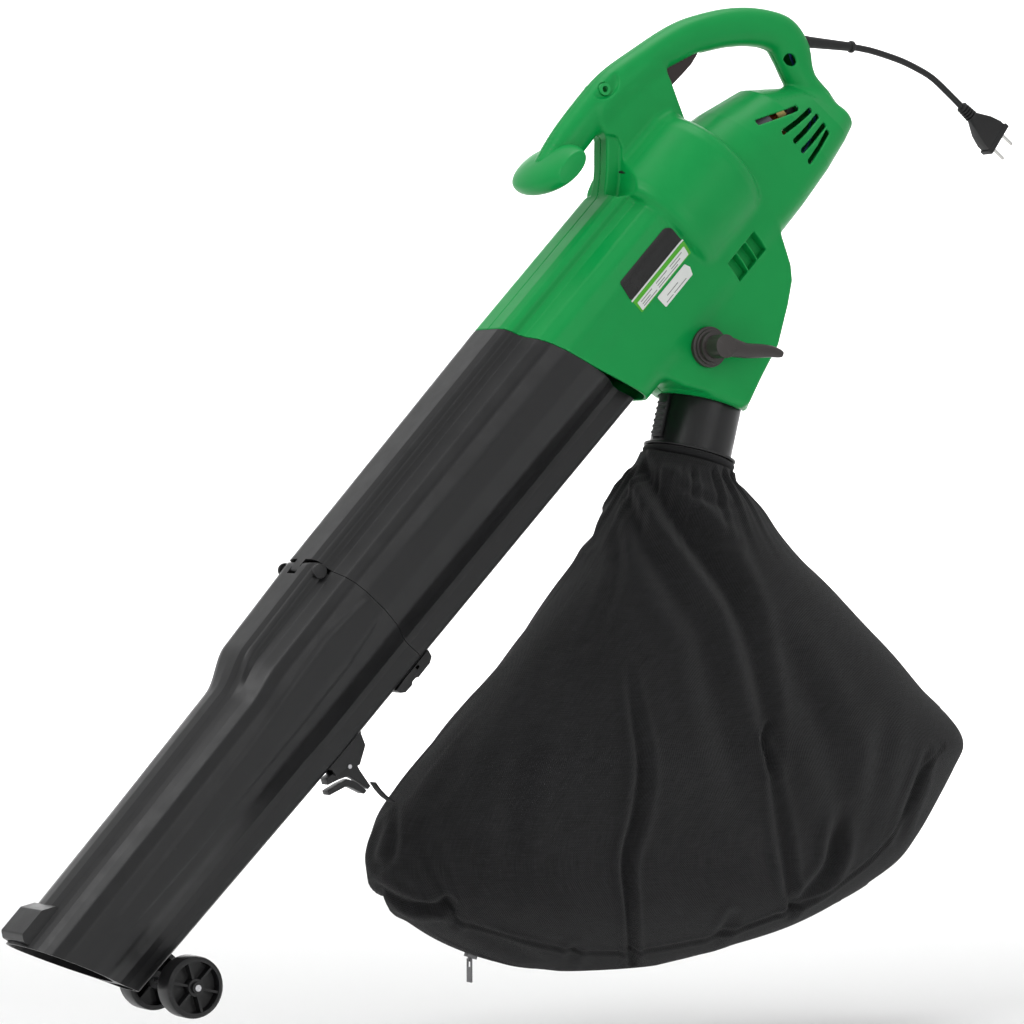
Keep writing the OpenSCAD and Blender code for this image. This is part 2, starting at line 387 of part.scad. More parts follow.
// --- wheels ---
module wheel_axle() color([0.6, 0.6, 0.62]) place() { bar_y(wheel_at[0], wheel_at[1], axle_r, -55, 55); }
module wheel(side) translate([wheel_at[0], side * (51 - wheel_w / 2), wheel_at[1]]) rotate([90, 0, 0]) difference() {
  union() {
    difference() {
      translate([0, 0, -wheel_w / 2]) rotate_extrude($fn = 64) polygon([[0, 0], [wheel_r - 3, 0], [wheel_r - 0.6, 1.6], [wheel_r, 4], [wheel_r, wheel_w - 4], [wheel_r - 0.6, wheel_w - 1.6], [wheel_r - 3, wheel_w], [0, wheel_w]]);
      for (z = [-1, 1]) translate([0, 0, z > 0 ? 2 : -wheel_w / 2 - 1]) cylinder(r = wheel_r - 5, h = wheel_w / 2 - 1);
    }
    translate([0, 0, -wheel_w / 2]) cylinder(r = 8, h = wheel_w);
    for (i = [0:5]) rotate([0, 0, 60 * i]) translate([6, -1.1, -wheel_w / 2 + 1.5]) cube([wheel_r - 10, 2.2, wheel_w - 3]);
  }
  translate([0, 0, -20]) cylinder(r = axle_r + 0.05, h = 40);
}
module wheel_left() color(BLACK) place() wheel(-1);
module wheel_right() color(BLACK) place() wheel(1);
module axle_caps() color([0.1, 0.1, 0.1]) place() for (y = [-54.6, 51.4]) difference() { bar_y(wheel_at[0], wheel_at[1], 5.4, y, y + 3.2); bar_y(wheel_at[0], wheel_at[1], axle_r, y - 1, y + 5); }
// fin under the mouth that carries the axle
module wheel_fin() difference() {
  union() {
    plate_y([[-505, -11], [-538, -24], [-556, -30], [-560, -40], [-574, -40], [-580, -30], [-588, -6], [-586, 2], [-520, -1]], -21.5, -17.5);
    plate_y([[-505, -11], [-538, -24], [-556, -30], [-560, -40], [-574, -40], [-580, -30], [-588, -6], [-586, 2], [-520, -1]], 17.5, 21.5);
    bar_y(wheel_at[0], wheel_at[1], 9, -25, 25);
  }
  bar_y(wheel_at[0], wheel_at[1], axle_r, -60, 60);
}

// --- clip that holds the foot of the bag ---
module bag_bracket() color([0.12, 0.12, 0.125]) place() {
  difference() {
    union() {
      plate_y([[-268, -15.9], [-274, -30], [-291, -38], [-297, -36], [-304, -30], [-316, -26], [-314, -14.9]], -9, -6.5);
      plate_y([[-268, -15.9], [-274, -30], [-291, -38], [-297, -36], [-304, -30], [-316, -26], [-314, -14.9]], 6.5, 9);
      translate([-316, -9, -18.2]) cube([48, 18, 2.2]);
    }
    bar_y(-300, -31, 2, -20, 20);
  }
}
CLIP_B = [[-331, -18.5], [-333, -22], [-316, -30], [-304, -36], [-297, -45], [-292, -61], [-296, -63], [-303, -50], [-309, -41], [-318, -34], [-334, -26], [-336, -20]];
module bag_clip() color([0.13, 0.13, 0.135]) place() difference() {
  plate_y([[-324, -22], [-310, -25], [-296, -26], [-291, -33], [-294, -43], [-297, -62], [-301, -62], [-303, -47], [-306, -38], [-316, -32], [-327, -27]], -6, 6);
  bar_y(-300, -31, 2.05, -20, 20);
}
module bag_clip_jaw() color([0.1, 0.1, 0.105]) place() plate_y([[-331, -31], [-318, -35.5], [-308, -40], [-304.6, -48], [-302.6, -62], [-307, -62], [-311, -50], [-314, -43], [-322, -39.5], [-333, -35]], -6, 6);
module bag_clip_pin() color([0.7, 0.7, 0.72]) place() bar_y(-300, -31, 2, -10, 10);

// --- bag adapter and bag, in the hanging frame ---
module bag_adapter() color([0.13, 0.13, 0.135]) outlet() difference() {
  union() {
    translate([0, 0, -82]) cylinder(r = adapter_r, h = 107, $fn = 96);
    translate([0, 0, -54]) rotate_extrude($fn = 96) polygon([[38, 0], [46, 0], [46.4, 1.2], [46, 2.4], [38, 2.4]]);
    translate([0, 0, -82]) rotate_extrude($fn = 96) polygon([[38, 0], [41.8, 0], [42, 1], [42, 3], [41, 4], [38, 4]]);
  }
  translate([0, 0, -90]) cylinder(r = adapter_r - 2.4, h = 130, $fn = 96);
  // scallop in the top edge where the selector's flap swings
  translate([-38.1, 0, 43.3]) rotate([90, 0, 0]) cylinder(r = 40.4, h = 120, center = true, $fn = 72);
  // guide for the latch on the side that faces the tube
  rotate([0, 0, 180]) translate([adapter_r - 1.2, -8.5, -49]) cube([6, 17, 54]);
}
module adapter_latch() color([0.1, 0.1, 0.105]) outlet() rotate([0, 0, 180]) {
  translate([adapter_r - 1, -7.5, -47]) cube([3.4, 15, 46]);
  for (i = [0:5]) translate([adapter_r + 2.4, -7.5, -44 + 6 * i]) cube([1.6, 15, 2.6]);
}

function oval(cx, z, wx, wy, p, n, tx = 0) = [for (k = [0:n - 1]) let (q = 360 * k / n, c = cos(q), s = sin(q))
    [cx + wx * sign(c) * pow(abs(c), p), wy * sign(s) * pow(abs(s), p), z + tx * sign(c) * pow(abs(c), p)]];
// stations from the neck to the foot: [centre x, height, half width, half depth, corner power, lean]
BAG = [[106, -362, 46.5, 46.5, 1, -12], [104, -372, 50, 49, 1, -11], [105, -384, 62, 53, 1, -8], [107, -404, 80, 58, 0.98, -5], [108, -430, 98, 64, 0.95, -2], [111, -458, 122, 70, 0.92, 0], [116, -486, 152, 76, 0.9, 0],
  [121, -534, 202, 82, 0.86, 0], [124, -582, 252, 86, 0.84, 0], [127, -618, 292, 87, 0.82, 0], [122, -646, 314, 87, 0.8, 0], [104, -672, 320, 86, 0.8, 0], [82, -702, 322, 85, 0.8, 0], [62, -738, 314, 82, 0.8, 0],
  [52, -768, 296, 78, 0.82, 0], [42, -796, 256, 70, 0.86, 0], [26, -822, 196, 56, 0.9, 0], [14, -842, 128, 38, 0.95, 0], [12, -854, 60, 20, 1, 0]];
module bag() color([0.1, 0.1, 0.105]) difference() {
  loft([for (i = [len(BAG) - 1:-1:0]) let (s = BAG[i]) oval(s[0], s[1], s[2], s[3], s[4], 36, s[5])]);
  loft([for (i = [len(BAG) - 2:-1:0]) let (s = BAG[i], t = i < 3 ? 1.6 : 2.4) oval(s[0], s[1] + (i > 14 ? 3 : i == 0 ? 4 : 0), s[2] - t, s[3] - t, s[4], 36, s[5])]);
  outlet() translate([0, 0, -80]) cylinder(r = 43.4, h = 60, $fn = 64);
}
module bag_collar() color([0.09, 0.09, 0.095]) outlet() difference() {
  translate([0, 0, -77.6]) rotate_extrude($fn = 72) polygon([[41.4, 0], [43, 0], [43, 15.6], [45.6, 17], [46.4, 19.4], [45.4, 22], [42.6, 23], [41.4, 22.8]]);
}
module bag_strap() color([0.08, 0.08, 0.085]) loft(sweep_xz([[-252, -665, 0.9, 5.6], [-247, -671.5, 0.9, 6], [-240.5, -678, 0.9, 6.5], [-231.8, -683.6, 0.9, 7]], 0, 12, 0.5));
zip_at = [-144, -834.1];  // zip slider, under the foot of the bag
module zip_slider() color([0.2, 0.2, 0.2]) translate([zip_at[0], 0, zip_at[1]]) rotate([0, 20, 0]) {
  cube([11, 7, 4], center = true);
  translate([0, 0, -3.7]) difference() { cube([3.4, 3.6, 4], center = true); translate([0, 0, -0.3]) rotate([90, 0, 0]) cylinder(r = 0.9, h = 20, center = true, $fn = 24); }
}
module zip_pull() color([0.25, 0.25, 0.25]) translate([zip_at[0] - 1.37, 0, zip_at[1] - 3.76]) {
  rotate([90, 0, 0]) cylinder(r = 0.85, h = 7, center = true, $fn = 24);
  for (y = [-3.3, 3.3]) translate([-0.9, y - 0.7, -7]) cube([1.8, 1.4, 7.9]);
  translate([-0.9, -4, -21.5]) cube([1.8, 8, 14.6]);
}

// --- mains lead, in the hanging frame ---
LEAD = [[250, 61.8], [264, 61.36], [280, 60.86], [294, 60.42], [308, 59.98], [330, 57.8], [352, 53.6], [372, 48.8], [392, 42], [410, 34], [428, 21.5], [447, 7.2]];
plug_tilt = 36;
module cord_relief() color([0.1, 0.1, 0.1]) translate([250, 0, 61.8]) rotate([0, 91.8, 0]) difference() {
  union() {
    translate([0, 0, -8]) cylinder(r = 6.2, h = 10);
    cylinder(r1 = 6, r2 = 4.6, h = 56);
    translate([0, 0, 55]) rotate_extrude() polygon([[3.6, 0], [5.6, 0], [6.2, 1], [6.2, 3], [5.6, 4], [3.6, 4]]);
  }
  translate([0, 0, -20]) cylinder(r = lead_d / 2 + 0.35, h = 90);
}
module cord() color([0.08, 0.08, 0.08]) loft(sweep_xz([for (p = smooth(LEAD, 3)) [p[0], p[1], lead_d / 2, lead_d / 2]], 0, 10));
module plug_frame() translate([447.2, 0, 7]) rotate([0, 90 + plug_tilt, 0]) children();
module plug_body() color([0.07, 0.07, 0.07]) plug_frame() {
  difference() {
    union() {
      cylinder(r = 4.4, h = 18);
      for (i = [0:4]) translate([0, 0, 1 + 3.4 * i]) cylinder(r = 6 + 0.2 * i, h = 1.8);
      hull() { translate([0, 0, 16]) cylinder(r = 5.5, h = 1, $fn = 32); translate([0, 0, 34]) cube([26, 13, 1], center = true); }
      hull() { translate([0, 0, 34]) cube([26, 13, 1], center = true); translate([0, 0, 46]) cube([33, 14, 1], center = true); translate([0, 0, 52]) cube([33, 14, 1], center = true); }
      translate([0, 0, 54]) cube([37, 15.5, 5], center = true);
    }
    for (x = [-9.5, 9.5]) translate([x, 0, 48]) cylinder(r = 2, h = 10);
  }
}
module plug_pins() color([0.8, 0.8, 0.8]) plug_frame() for (x = [-9.5, 9.5]) { translate([x, 0, 48]) cylinder(r = 2, h = 8.5); translate([x, 0, 56.5]) cylinder(r = 1.9, h = 17); translate([x, 0, 73.5]) cylinder(r1 = 1.9, r2 = 1.1, h = 2); }

housing_left();
housing_right();
front_grip();
strap_eyelet();
housing_screws();
switch_body();
trigger();
trigger_pin();
trigger_spring();
inner_wires();
capacitor();
stator_core();
field_coils();
rear_bearing_bridge();
brush_holders();
carbon_brushes();
motor_mount_plate();
motor_bearings();
fan_inlet_ring();
motor_shaft();
armature_core();
armature_windings();
commutator();
cooling_fan();
impeller();
impeller_nut();
selector_bezel();
selector_lever();
selector_shaft();
selector_flap();
rating_labels();
upper_tube();
union() { lower_tube(); color(BLACK) place() wheel_fin(); }
tube_hinge_pin();
tube_latch();
wheel_axle();
wheel_left();
wheel_right();
axle_caps();
bag_bracket();
bag_clip();
bag_clip_jaw();
bag_clip_pin();
bag_adapter();
adapter_latch();
bag_collar();
bag();
bag_strap();
zip_slider();
zip_pull();
cord_relief();
cord();
plug_body();
plug_pins();
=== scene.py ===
import bpy, bmesh, json, math
import numpy as np
from mathutils import Vector, Matrix


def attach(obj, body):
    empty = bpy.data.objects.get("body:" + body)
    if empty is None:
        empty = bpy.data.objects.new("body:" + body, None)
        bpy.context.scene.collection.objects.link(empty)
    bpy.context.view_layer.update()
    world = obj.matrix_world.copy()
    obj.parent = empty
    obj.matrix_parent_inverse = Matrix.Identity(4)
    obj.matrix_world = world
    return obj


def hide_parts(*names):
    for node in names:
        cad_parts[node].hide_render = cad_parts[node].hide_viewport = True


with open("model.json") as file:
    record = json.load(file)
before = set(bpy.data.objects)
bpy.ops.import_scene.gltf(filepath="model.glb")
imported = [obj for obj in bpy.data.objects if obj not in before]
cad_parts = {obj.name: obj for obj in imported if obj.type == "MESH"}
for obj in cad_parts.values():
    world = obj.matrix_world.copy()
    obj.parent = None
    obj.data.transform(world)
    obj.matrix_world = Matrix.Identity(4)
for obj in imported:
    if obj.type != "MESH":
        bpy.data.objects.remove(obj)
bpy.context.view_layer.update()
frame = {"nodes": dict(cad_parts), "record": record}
NODES = frame["nodes"]

# ---------------------------------------------------------------- placement
TILT = math.radians(46.3)
C, S = math.cos(TILT), math.sin(TILT)


def W(p):
    """machine frame (a along the tube, y, b across it; mm) to the row frame in metres"""
    p = np.asarray(p, float)
    a, y, b = p[..., 0] - 364, p[..., 1], p[..., 2] - 213
    return np.stack([a * C - b * S, y, a * S + b * C], -1) / 1000


def Wn(n):
    a, y, b = n[..., 0], n[..., 1], n[..., 2]
    return np.stack([a * C - b * S, y, a * S + b * C], -1)


# outlet frame: origin where the outlet leaves the housing, z up the outlet
OUT_A, OUT_B, OUT_TILT = 230.8, -83.4, math.radians(14.5)
OC, OS = math.cos(TILT + OUT_TILT), math.sin(TILT + OUT_TILT)


def from_outlet(p):
    p = np.asarray(p, float)
    x, y, z = p[..., 0], p[..., 1], p[..., 2]
    return np.stack([OUT_A + x * OC + z * OS, y, OUT_B - x * OS + z * OC], -1)


# ---------------------------------------------------------------- camera
cam_data = bpy.data.cameras.new("camera")
cam_data.lens = 150
cam_data.sensor_width = 36
cam_data.clip_start = 0.5
cam_data.clip_end = 60
cam = bpy.data.objects.new("camera", cam_data)
bpy.context.scene.collection.objects.link(cam)
cam.location = (-2.27016, -3.47700, -0.41032)
cam.rotation_euler = Vector((0.52992, 0.84805, 0)).to_track_quat("-Z", "Y").to_euler()
bpy.context.scene.camera = cam


# ---------------------------------------------------------------- materials
def tree(name):
    m = bpy.data.materials.new(name)
    m.use_nodes = True
    nt = m.node_tree
    nt.nodes.clear()
    out = nt.nodes.new("ShaderNodeOutputMaterial")
    b = nt.nodes.new("ShaderNodeBsdfPrincipled")
    nt.links.new(b.outputs[0], out.inputs[0])
    return m, nt, b


def add(nt, kind, **kw):
    n = nt.nodes.new(kind)
    for k, v in kw.items():
        if k in n.inputs:
            n.inputs[k].default_value = v
        else:
            setattr(n, k, v)
    return n


def noise(nt, vec, scale, detail=3.0, rough=0.5, dist=0.0):
    n = add(nt, "ShaderNodeTexNoise", Scale=scale, Detail=detail, Roughness=rough, Distortion=dist)
    nt.links.new(vec, n.inputs["Vector"])
    return n.outputs["Fac"]


def ramp(nt, fac, stops):
    r = nt.nodes.new("ShaderNodeValToRGB")
    while len(r.color_ramp.elements) < len(stops):
        r.color_ramp.elements.new(0.5)
    for e, (p, c) in zip(r.color_ramp.elements, stops):
        e.position = p
        e.color = (*c, 1) if len(c) == 3 else c
    nt.links.new(fac, r.inputs[0])
    return r.outputs[0]


def math_node(nt, op, a, b=None, c=None):
    n = nt.nodes.new("ShaderNodeMath")
    n.operation = op
    for i, v in enumerate([a, b, c]):
        if v is None:
            continue
        if isinstance(v, (int, float)):
            n.inputs[i].default_value = v
        else:
            nt.links.new(v, n.inputs[i])
    return n.outputs[0]


def map_range(nt, v, a, b, c, d):
    n = add(nt, "ShaderNodeMapRange")
    n.inputs[1].default_value, n.inputs[2].default_value = a, b
    n.inputs[3].default_value, n.inputs[4].default_value = c, d
    nt.links.new(v, n.inputs[0])
    return n.outputs[0]


def tint(c, k):
    return tuple(min(1.0, x * k) for x in c)


def plastic(name, col, rough, grain=700.0, bump=0.00006, spec=0.45, coat=0.0, wear=0.12, spread=0.10, grain_strength=0.35):
    m, nt, b = tree(name)
    co = nt.nodes.new("ShaderNodeTexCoord").outputs["Object"]
    big = noise(nt, co, 5.0, 3.0, 0.55)
    mid = noise(nt, co, 45.0, 4.0, 0.6)
    blot = math_node(nt, "ADD", math_node(nt, "MULTIPLY", big, 0.6), math_node(nt, "MULTIPLY", mid, 0.4))
    base = ramp(nt, blot, [(0.3, tint(col, 1 - spread)), (0.7, tint(col, 1 + spread))])
    geo = nt.nodes.new("ShaderNodeNewGeometry")
    edge = map_range(nt, geo.outputs["Pointiness"], 0.52, 0.62, 0.0, wear)
    mix = add(nt, "ShaderNodeMix", data_type="RGBA")
    nt.links.new(edge, mix.inputs[0])
    nt.links.new(base, mix.inputs[6])
    lift = tuple(min(1.0, x * 1.6 + 0.05) for x in col)
    mix.inputs[7].default_value = (*lift, 1)
    nt.links.new(mix.outputs[2], b.inputs["Base Color"])
    r = map_range(nt, mid, 0.3, 0.7, rough - 0.05, rough + 0.06)
    nt.links.new(r, b.inputs["Roughness"])
    fine = noise(nt, co, grain, 2.0, 0.6)
    bp = add(nt, "ShaderNodeBump", Strength=grain_strength, Distance=bump)
    nt.links.new(fine, bp.inputs["Height"])
    nt.links.new(bp.outputs[0], b.inputs["Normal"])
    b.inputs["Specular IOR Level"].default_value = spec
    b.inputs["Coat Weight"].default_value = coat
    b.inputs["Coat Roughness"].default_value = 0.25
    return m


def metal(name, col, rough, scratch=300.0):
    m, nt, b = tree(name)
    co = nt.nodes.new("ShaderNodeTexCoord").outputs["Object"]
    mp = add(nt, "ShaderNodeMapping")
    mp.inputs["Scale"].default_value = (1, 1, 12)
    nt.links.new(co, mp.inputs[0])
    n = noise(nt, mp.outputs[0], scratch, 3.0, 0.6)
    nt.links.new(ramp(nt, n, [(0.3, tint(col, 0.82)), (0.7, tint(col, 1.1))]), b.inputs["Base Color"])
    nt.links.new(map_range(nt, n, 0.3, 0.7, rough - 0.08, rough + 0.1), b.inputs["Roughness"])
    bp = add(nt, "ShaderNodeBump", Strength=0.2, Distance=0.00003)
    nt.links.new(n, bp.inputs["Height"])
    nt.links.new(bp.outputs[0], b.inputs["Normal"])
    b.inputs["Metallic"].default_value = 1.0
    return m


def fabric(name, col, pitch=0.0021, strength=0.8, lint=0.5):
    """plain weave laid out on the piece's UV map, which is in metres"""
    m, nt, b = tree(name)
    tc = nt.nodes.new("ShaderNodeTexCoord")
    uv, co = tc.outputs["UV"], tc.outputs["Object"]
    wob = noise(nt, uv, 30.0, 2.0, 0.5)
    sep = nt.nodes.new("ShaderNodeSeparateXYZ")
    nt.links.new(uv, sep.inputs[0])
    k = 2 * math.pi / pitch
    w = math_node(nt, "MULTIPLY", wob, 0.004)
    su = math_node(nt, "SINE", math_node(nt, "MULTIPLY", math_node(nt, "ADD", sep.outputs[0], w), k))
    sv = math_node(nt, "SINE", math_node(nt, "MULTIPLY", math_node(nt, "ADD", sep.outputs[1], w), k))
    weave = math_node(nt, "MULTIPLY", su, sv)
    thread = noise(nt, uv, 900.0, 2.0, 0.6)
    mpu = add(nt, "ShaderNodeMapping")
    mpu.inputs["Scale"].default_value = (40, 700, 1)
    nt.links.new(uv, mpu.inputs[0])
    slub_u = noise(nt, mpu.outputs[0], 1.0, 2.0, 0.6)
    mpv = add(nt, "ShaderNodeMapping")
    mpv.inputs["Scale"].default_value = (700, 40, 1)
    nt.links.new(uv, mpv.inputs[0])
    slub_v = noise(nt, mpv.outputs[0], 1.0, 2.0, 0.6)
    slub = math_node(nt, "MULTIPLY", math_node(nt, "ADD", slub_u, slub_v), 0.5)
    h = math_node(nt, "ADD", math_node(nt, "MULTIPLY", weave, 0.8), math_node(nt, "ADD", math_node(nt, "MULTIPLY", slub, 1.2), math_node(nt, "MULTIPLY", thread, 0.4)))
    tone = math_node(nt, "ADD", math_node(nt, "MULTIPLY", weave, 0.10), math_node(nt, "ADD", math_node(nt, "MULTIPLY", slub, 0.8), math_node(nt, "MULTIPLY", noise(nt, co, 9.0, 4.0, 0.6), 0.25)))
    nt.links.new(ramp(nt, tone, [(0.40, tint(col, 0.50)), (0.66, tint(col, 2.0))]), b.inputs["Base Color"])
    bp = add(nt, "ShaderNodeBump", Strength=strength, Distance=0.0006)
    nt.links.new(h, bp.inputs["Height"])
    nt.links.new(bp.outputs[0], b.inputs["Normal"])
    b.inputs["Roughness"].default_value = 0.92
    b.inputs["Specular IOR Level"].default_value = 0.25
    b.inputs["Sheen Weight"].default_value = 0.10
    b.inputs["Sheen Roughness"].default_value = 0.5
    return m


GREEN = (0.0008, 0.295, 0.060)
MAT = {
    "green_plastic": plastic("green_plastic", GREEN, 0.36, 800, 0.00005, 0.26, 0.0, 0.30, 0.05, 0.3),
    "black_plastic": plastic("black_plastic", (0.0085, 0.0085, 0.0092), 0.36, 900, 0.00005, 0.42, 0, 0.10, 0.12, 0.4),
    "dark_plastic": plastic("dark_plastic", (0.034, 0.029, 0.0275), 0.36, 900, 0.00005, 0.5, 0, 0.12, 0.12, 0.3),
    "trigger_plastic": plastic("trigger_plastic", (0.030, 0.018, 0.018), 0.45, 900, 0.00005, 0.4, 0, 0.1, 0.12, 0.3),
    "steel": metal("steel", (0.62, 0.62, 0.64), 0.28),
    "zinc_screw": metal("zinc_screw", (0.48, 0.48, 0.50), 0.38),
    "laminations": metal("laminations", (0.20, 0.20, 0.22), 0.5, 900),
    "copper": metal("copper", (0.62, 0.24, 0.09), 0.35, 500),
    "carbon": plastic("carbon", (0.02, 0.02, 0.02), 0.6),
    "holder_brass": metal("holder_brass", (0.62, 0.46, 0.18), 0.32),
    "alloy": metal("alloy", (0.60, 0.60, 0.59), 0.42, 150),
    "wire_blue": plastic("wire_blue", (0.02, 0.08, 0.32), 0.4),
    "capacitor_film": plastic("capacitor_film", (0.50, 0.40, 0.10), 0.35),
    "label": plastic("label", (0.75, 0.76, 0.75), 0.3),
    "bag_fabric": fabric("bag_fabric", (0.0085, 0.0085, 0.0092)),
    "webbing": fabric("webbing", (0.008, 0.008, 0.0085), 0.0016, 1.0),
    "zip_metal": metal("zip_metal", (0.20, 0.20, 0.205), 0.4),
    "cable_jacket": plastic("cable_jacket", (0.0095, 0.0095, 0.0100), 0.46, 700, 0.00004, 0.4, 0, 0.06, 0.1, 0.3),
    "plug_pin": metal("plug_pin", (0.72, 0.71, 0.69), 0.2),
}
SLOT = {s["node"]: s["material_slot"] for s in frame["record"]["subparts"]}
for n, o in NODES.items():
    o.data.materials.clear()
    o.data.materials.append(MAT[SLOT[n]])
BODY = {n: b for b, ns in frame["record"]["behaviour"]["bodies"].items() for n in ns}


# ---------------------------------------------------------------- mesh helpers
def make(name, verts, faces, mat, body, replaces=(), angle=38, normals=None, uv=None):
    me = bpy.data.meshes.new(name)
    verts = np.asarray(verts, np.float32)
    me.from_pydata(verts.tolist(), [], faces if isinstance(faces, list) else faces.tolist())
    me.validate(verbose=False)
    if uv is not None:
        layer = me.uv_layers.new(name="UVMap")
        idx = np.zeros(len(me.loops), np.int32)
        me.loops.foreach_get("vertex_index", idx)
        layer.data.foreach_set("uv", uv(me, idx).astype(np.float32).ravel())
    o = bpy.data.objects.new(name, me)
    bpy.context.scene.collection.objects.link(o)
    me.polygons.foreach_set("use_smooth", [True] * len(me.polygons))
    if normals is not None:
        me.normals_split_custom_set_from_vertices(np.asarray(normals, np.float32).tolist())
    elif angle:
        me.set_sharp_from_angle(angle=math.radians(angle))
    me.materials.append(mat)
    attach(o, body)
    if replaces:
        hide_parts(*replaces)
    return o


def refine(node, width=0.0004, segments=2, angle=30, mat=None, weld=0.00001):
    """a CAD node's shape with its edges rounded, as a piece of its own"""
    src = NODES[node]
    bm = bmesh.new()
    bm.from_mesh(src.data)
    bmesh.ops.remove_doubles(bm, verts=bm.verts, dist=weld)
    bmesh.ops.dissolve_limit(bm, angle_limit=math.radians(1.5), verts=bm.verts, edges=bm.edges)
    edges = [e for e in bm.edges if len(e.link_faces) == 2 and e.calc_face_angle(0) > math.radians(angle)]
    if width:
        bmesh.ops.bevel(bm, geom=edges, offset=width, segments=segments, profile=0.6, affect="EDGES", clamp_overlap=True)
    bmesh.ops.triangulate(bm, faces=[f for f in bm.faces if len(f.verts) > 4])
    me = bpy.data.meshes.new(node + "_look")
    bm.to_mesh(me)
    bm.free()
    o = bpy.data.objects.new(node + "_look", me)
    bpy.context.scene.collection.objects.link(o)
    me.polygons.foreach_set("use_smooth", [True] * len(me.polygons))
    me.set_sharp_from_angle(angle=math.radians(32))
    me.materials.append(mat or MAT[SLOT[node]])
    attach(o, BODY[node])
    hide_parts(node)
    return o


def catmull(P, n, closed=False):
    P = np.asarray(P, float)
    m = len(P)
    out = []
    rng = m if closed else m - 1
    for i in range(rng):
        if closed:
            p0, p1, p2, p3 = P[(i - 1) % m], P[i], P[(i + 1) % m], P[(i + 2) % m]
        else:
            p0, p1, p2, p3 = P[max(i - 1, 0)], P[i], P[i + 1], P[min(i + 2, m - 1)]
        for k in range(n):
            t = k / n
            out.append(0.5 * (2 * p1 + (p2 - p0) * t + (2 * p0 - 5 * p1 + 4 * p2 - p3) * t * t + (3 * p1 - p0 - 3 * p2 + p3) * t ** 3))
    if not closed:
        out.append(P[-1])
    return np.array(out)


def chaikin(P, it=2, q=0.25):
    """rounded corners on a closed outline"""
    P = np.asarray(P, float)
    for _ in range(it):
        Q = np.roll(P, -1, 0)
        P = np.stack([P * (1 - q) + Q * q, P * q + Q * (1 - q)], 1).reshape(-1, P.shape[1])
    return P


def fillet(P, r, seg=4):
    """closed outline with its corners rounded; r is a radius or one per corner"""
    P = [np.asarray(p, float) for p in P]
    n = len(P)
    out = []
    for i in range(n):
        p, a, b = P[i], P[i - 1], P[(i + 1) % n]
        ri = r[i] if hasattr(r, "__len__") else r
        u, v = a - p, b - p
        lu, lv = np.linalg.norm(u), np.linalg.norm(v)
        if ri <= 0 or lu < 1e-6 or lv < 1e-6:
            out.append(p)
            continue
        u, v = u / lu, v / lv
        ang = math.acos(max(-1, min(1, float(u @ v))))
        t = min(ri / max(math.tan(ang / 2), 1e-3), 0.45 * lu, 0.45 * lv)
        if ang > math.radians(176):
            t = min(2.0, 0.3 * lu, 0.3 * lv)
        for k in range(seg + 1):
            s = k / seg
            q0, q1 = p + u * t, p + v * t
            out.append((1 - s) ** 2 * q0 + 2 * s * (1 - s) * p + s * s * q1)
    return np.array(out)


# ---------------------------------------------------------------- signed distance fields
class Field:
    """signed distance to a closed outline in a plane, on a fine grid, read with interpolation"""

    def __init__(self, poly, h=0.75, pad=60):
        P = np.asarray(poly, float)
        self.lo = P.min(0) - pad
        hi = P.max(0) + pad
        self.h = h
        nu, nv = (int((hi[i] - self.lo[i]) / h) + 2 for i in (0, 1))
        u = self.lo[0] + h * np.arange(nu)
        v = self.lo[1] + h * np.arange(nv)
        U, V = np.meshgrid(u, v, indexing="ij")
        d2 = np.full(U.shape, 1e18)
        ins = np.zeros(U.shape, bool)
        for i in range(len(P)):
            a, b = P[i - 1], P[i]
            e = b - a
            L = float(e @ e)
            if L < 1e-12:
                continue
            t = np.clip(((U - a[0]) * e[0] + (V - a[1]) * e[1]) / L, 0, 1)
            d2 = np.minimum(d2, (U - a[0] - t * e[0]) ** 2 + (V - a[1] - t * e[1]) ** 2)
            if a[1] != b[1]:
                cr = (a[1] > V) != (b[1] > V)
                ins ^= cr & (U < (b[0] - a[0]) * (V - a[1]) / (b[1] - a[1]) + a[0])
        self.g = np.sqrt(d2) * np.where(ins, -1, 1)

    def __call__(self, u, v):
        x = np.clip((u - self.lo[0]) / self.h, 0, self.g.shape[0] - 1.001)
        y = np.clip((v - self.lo[1]) / self.h, 0, self.g.shape[1] - 1.001)
        i, j = x.astype(np.int32), y.astype(np.int32)
        fx, fy = x - i, y - j
        g = self.g
        return (g[i, j] * (1 - fx) + g[i + 1, j] * fx) * (1 - fy) + (g[i, j + 1] * (1 - fx) + g[i + 1, j + 1] * fx) * fy


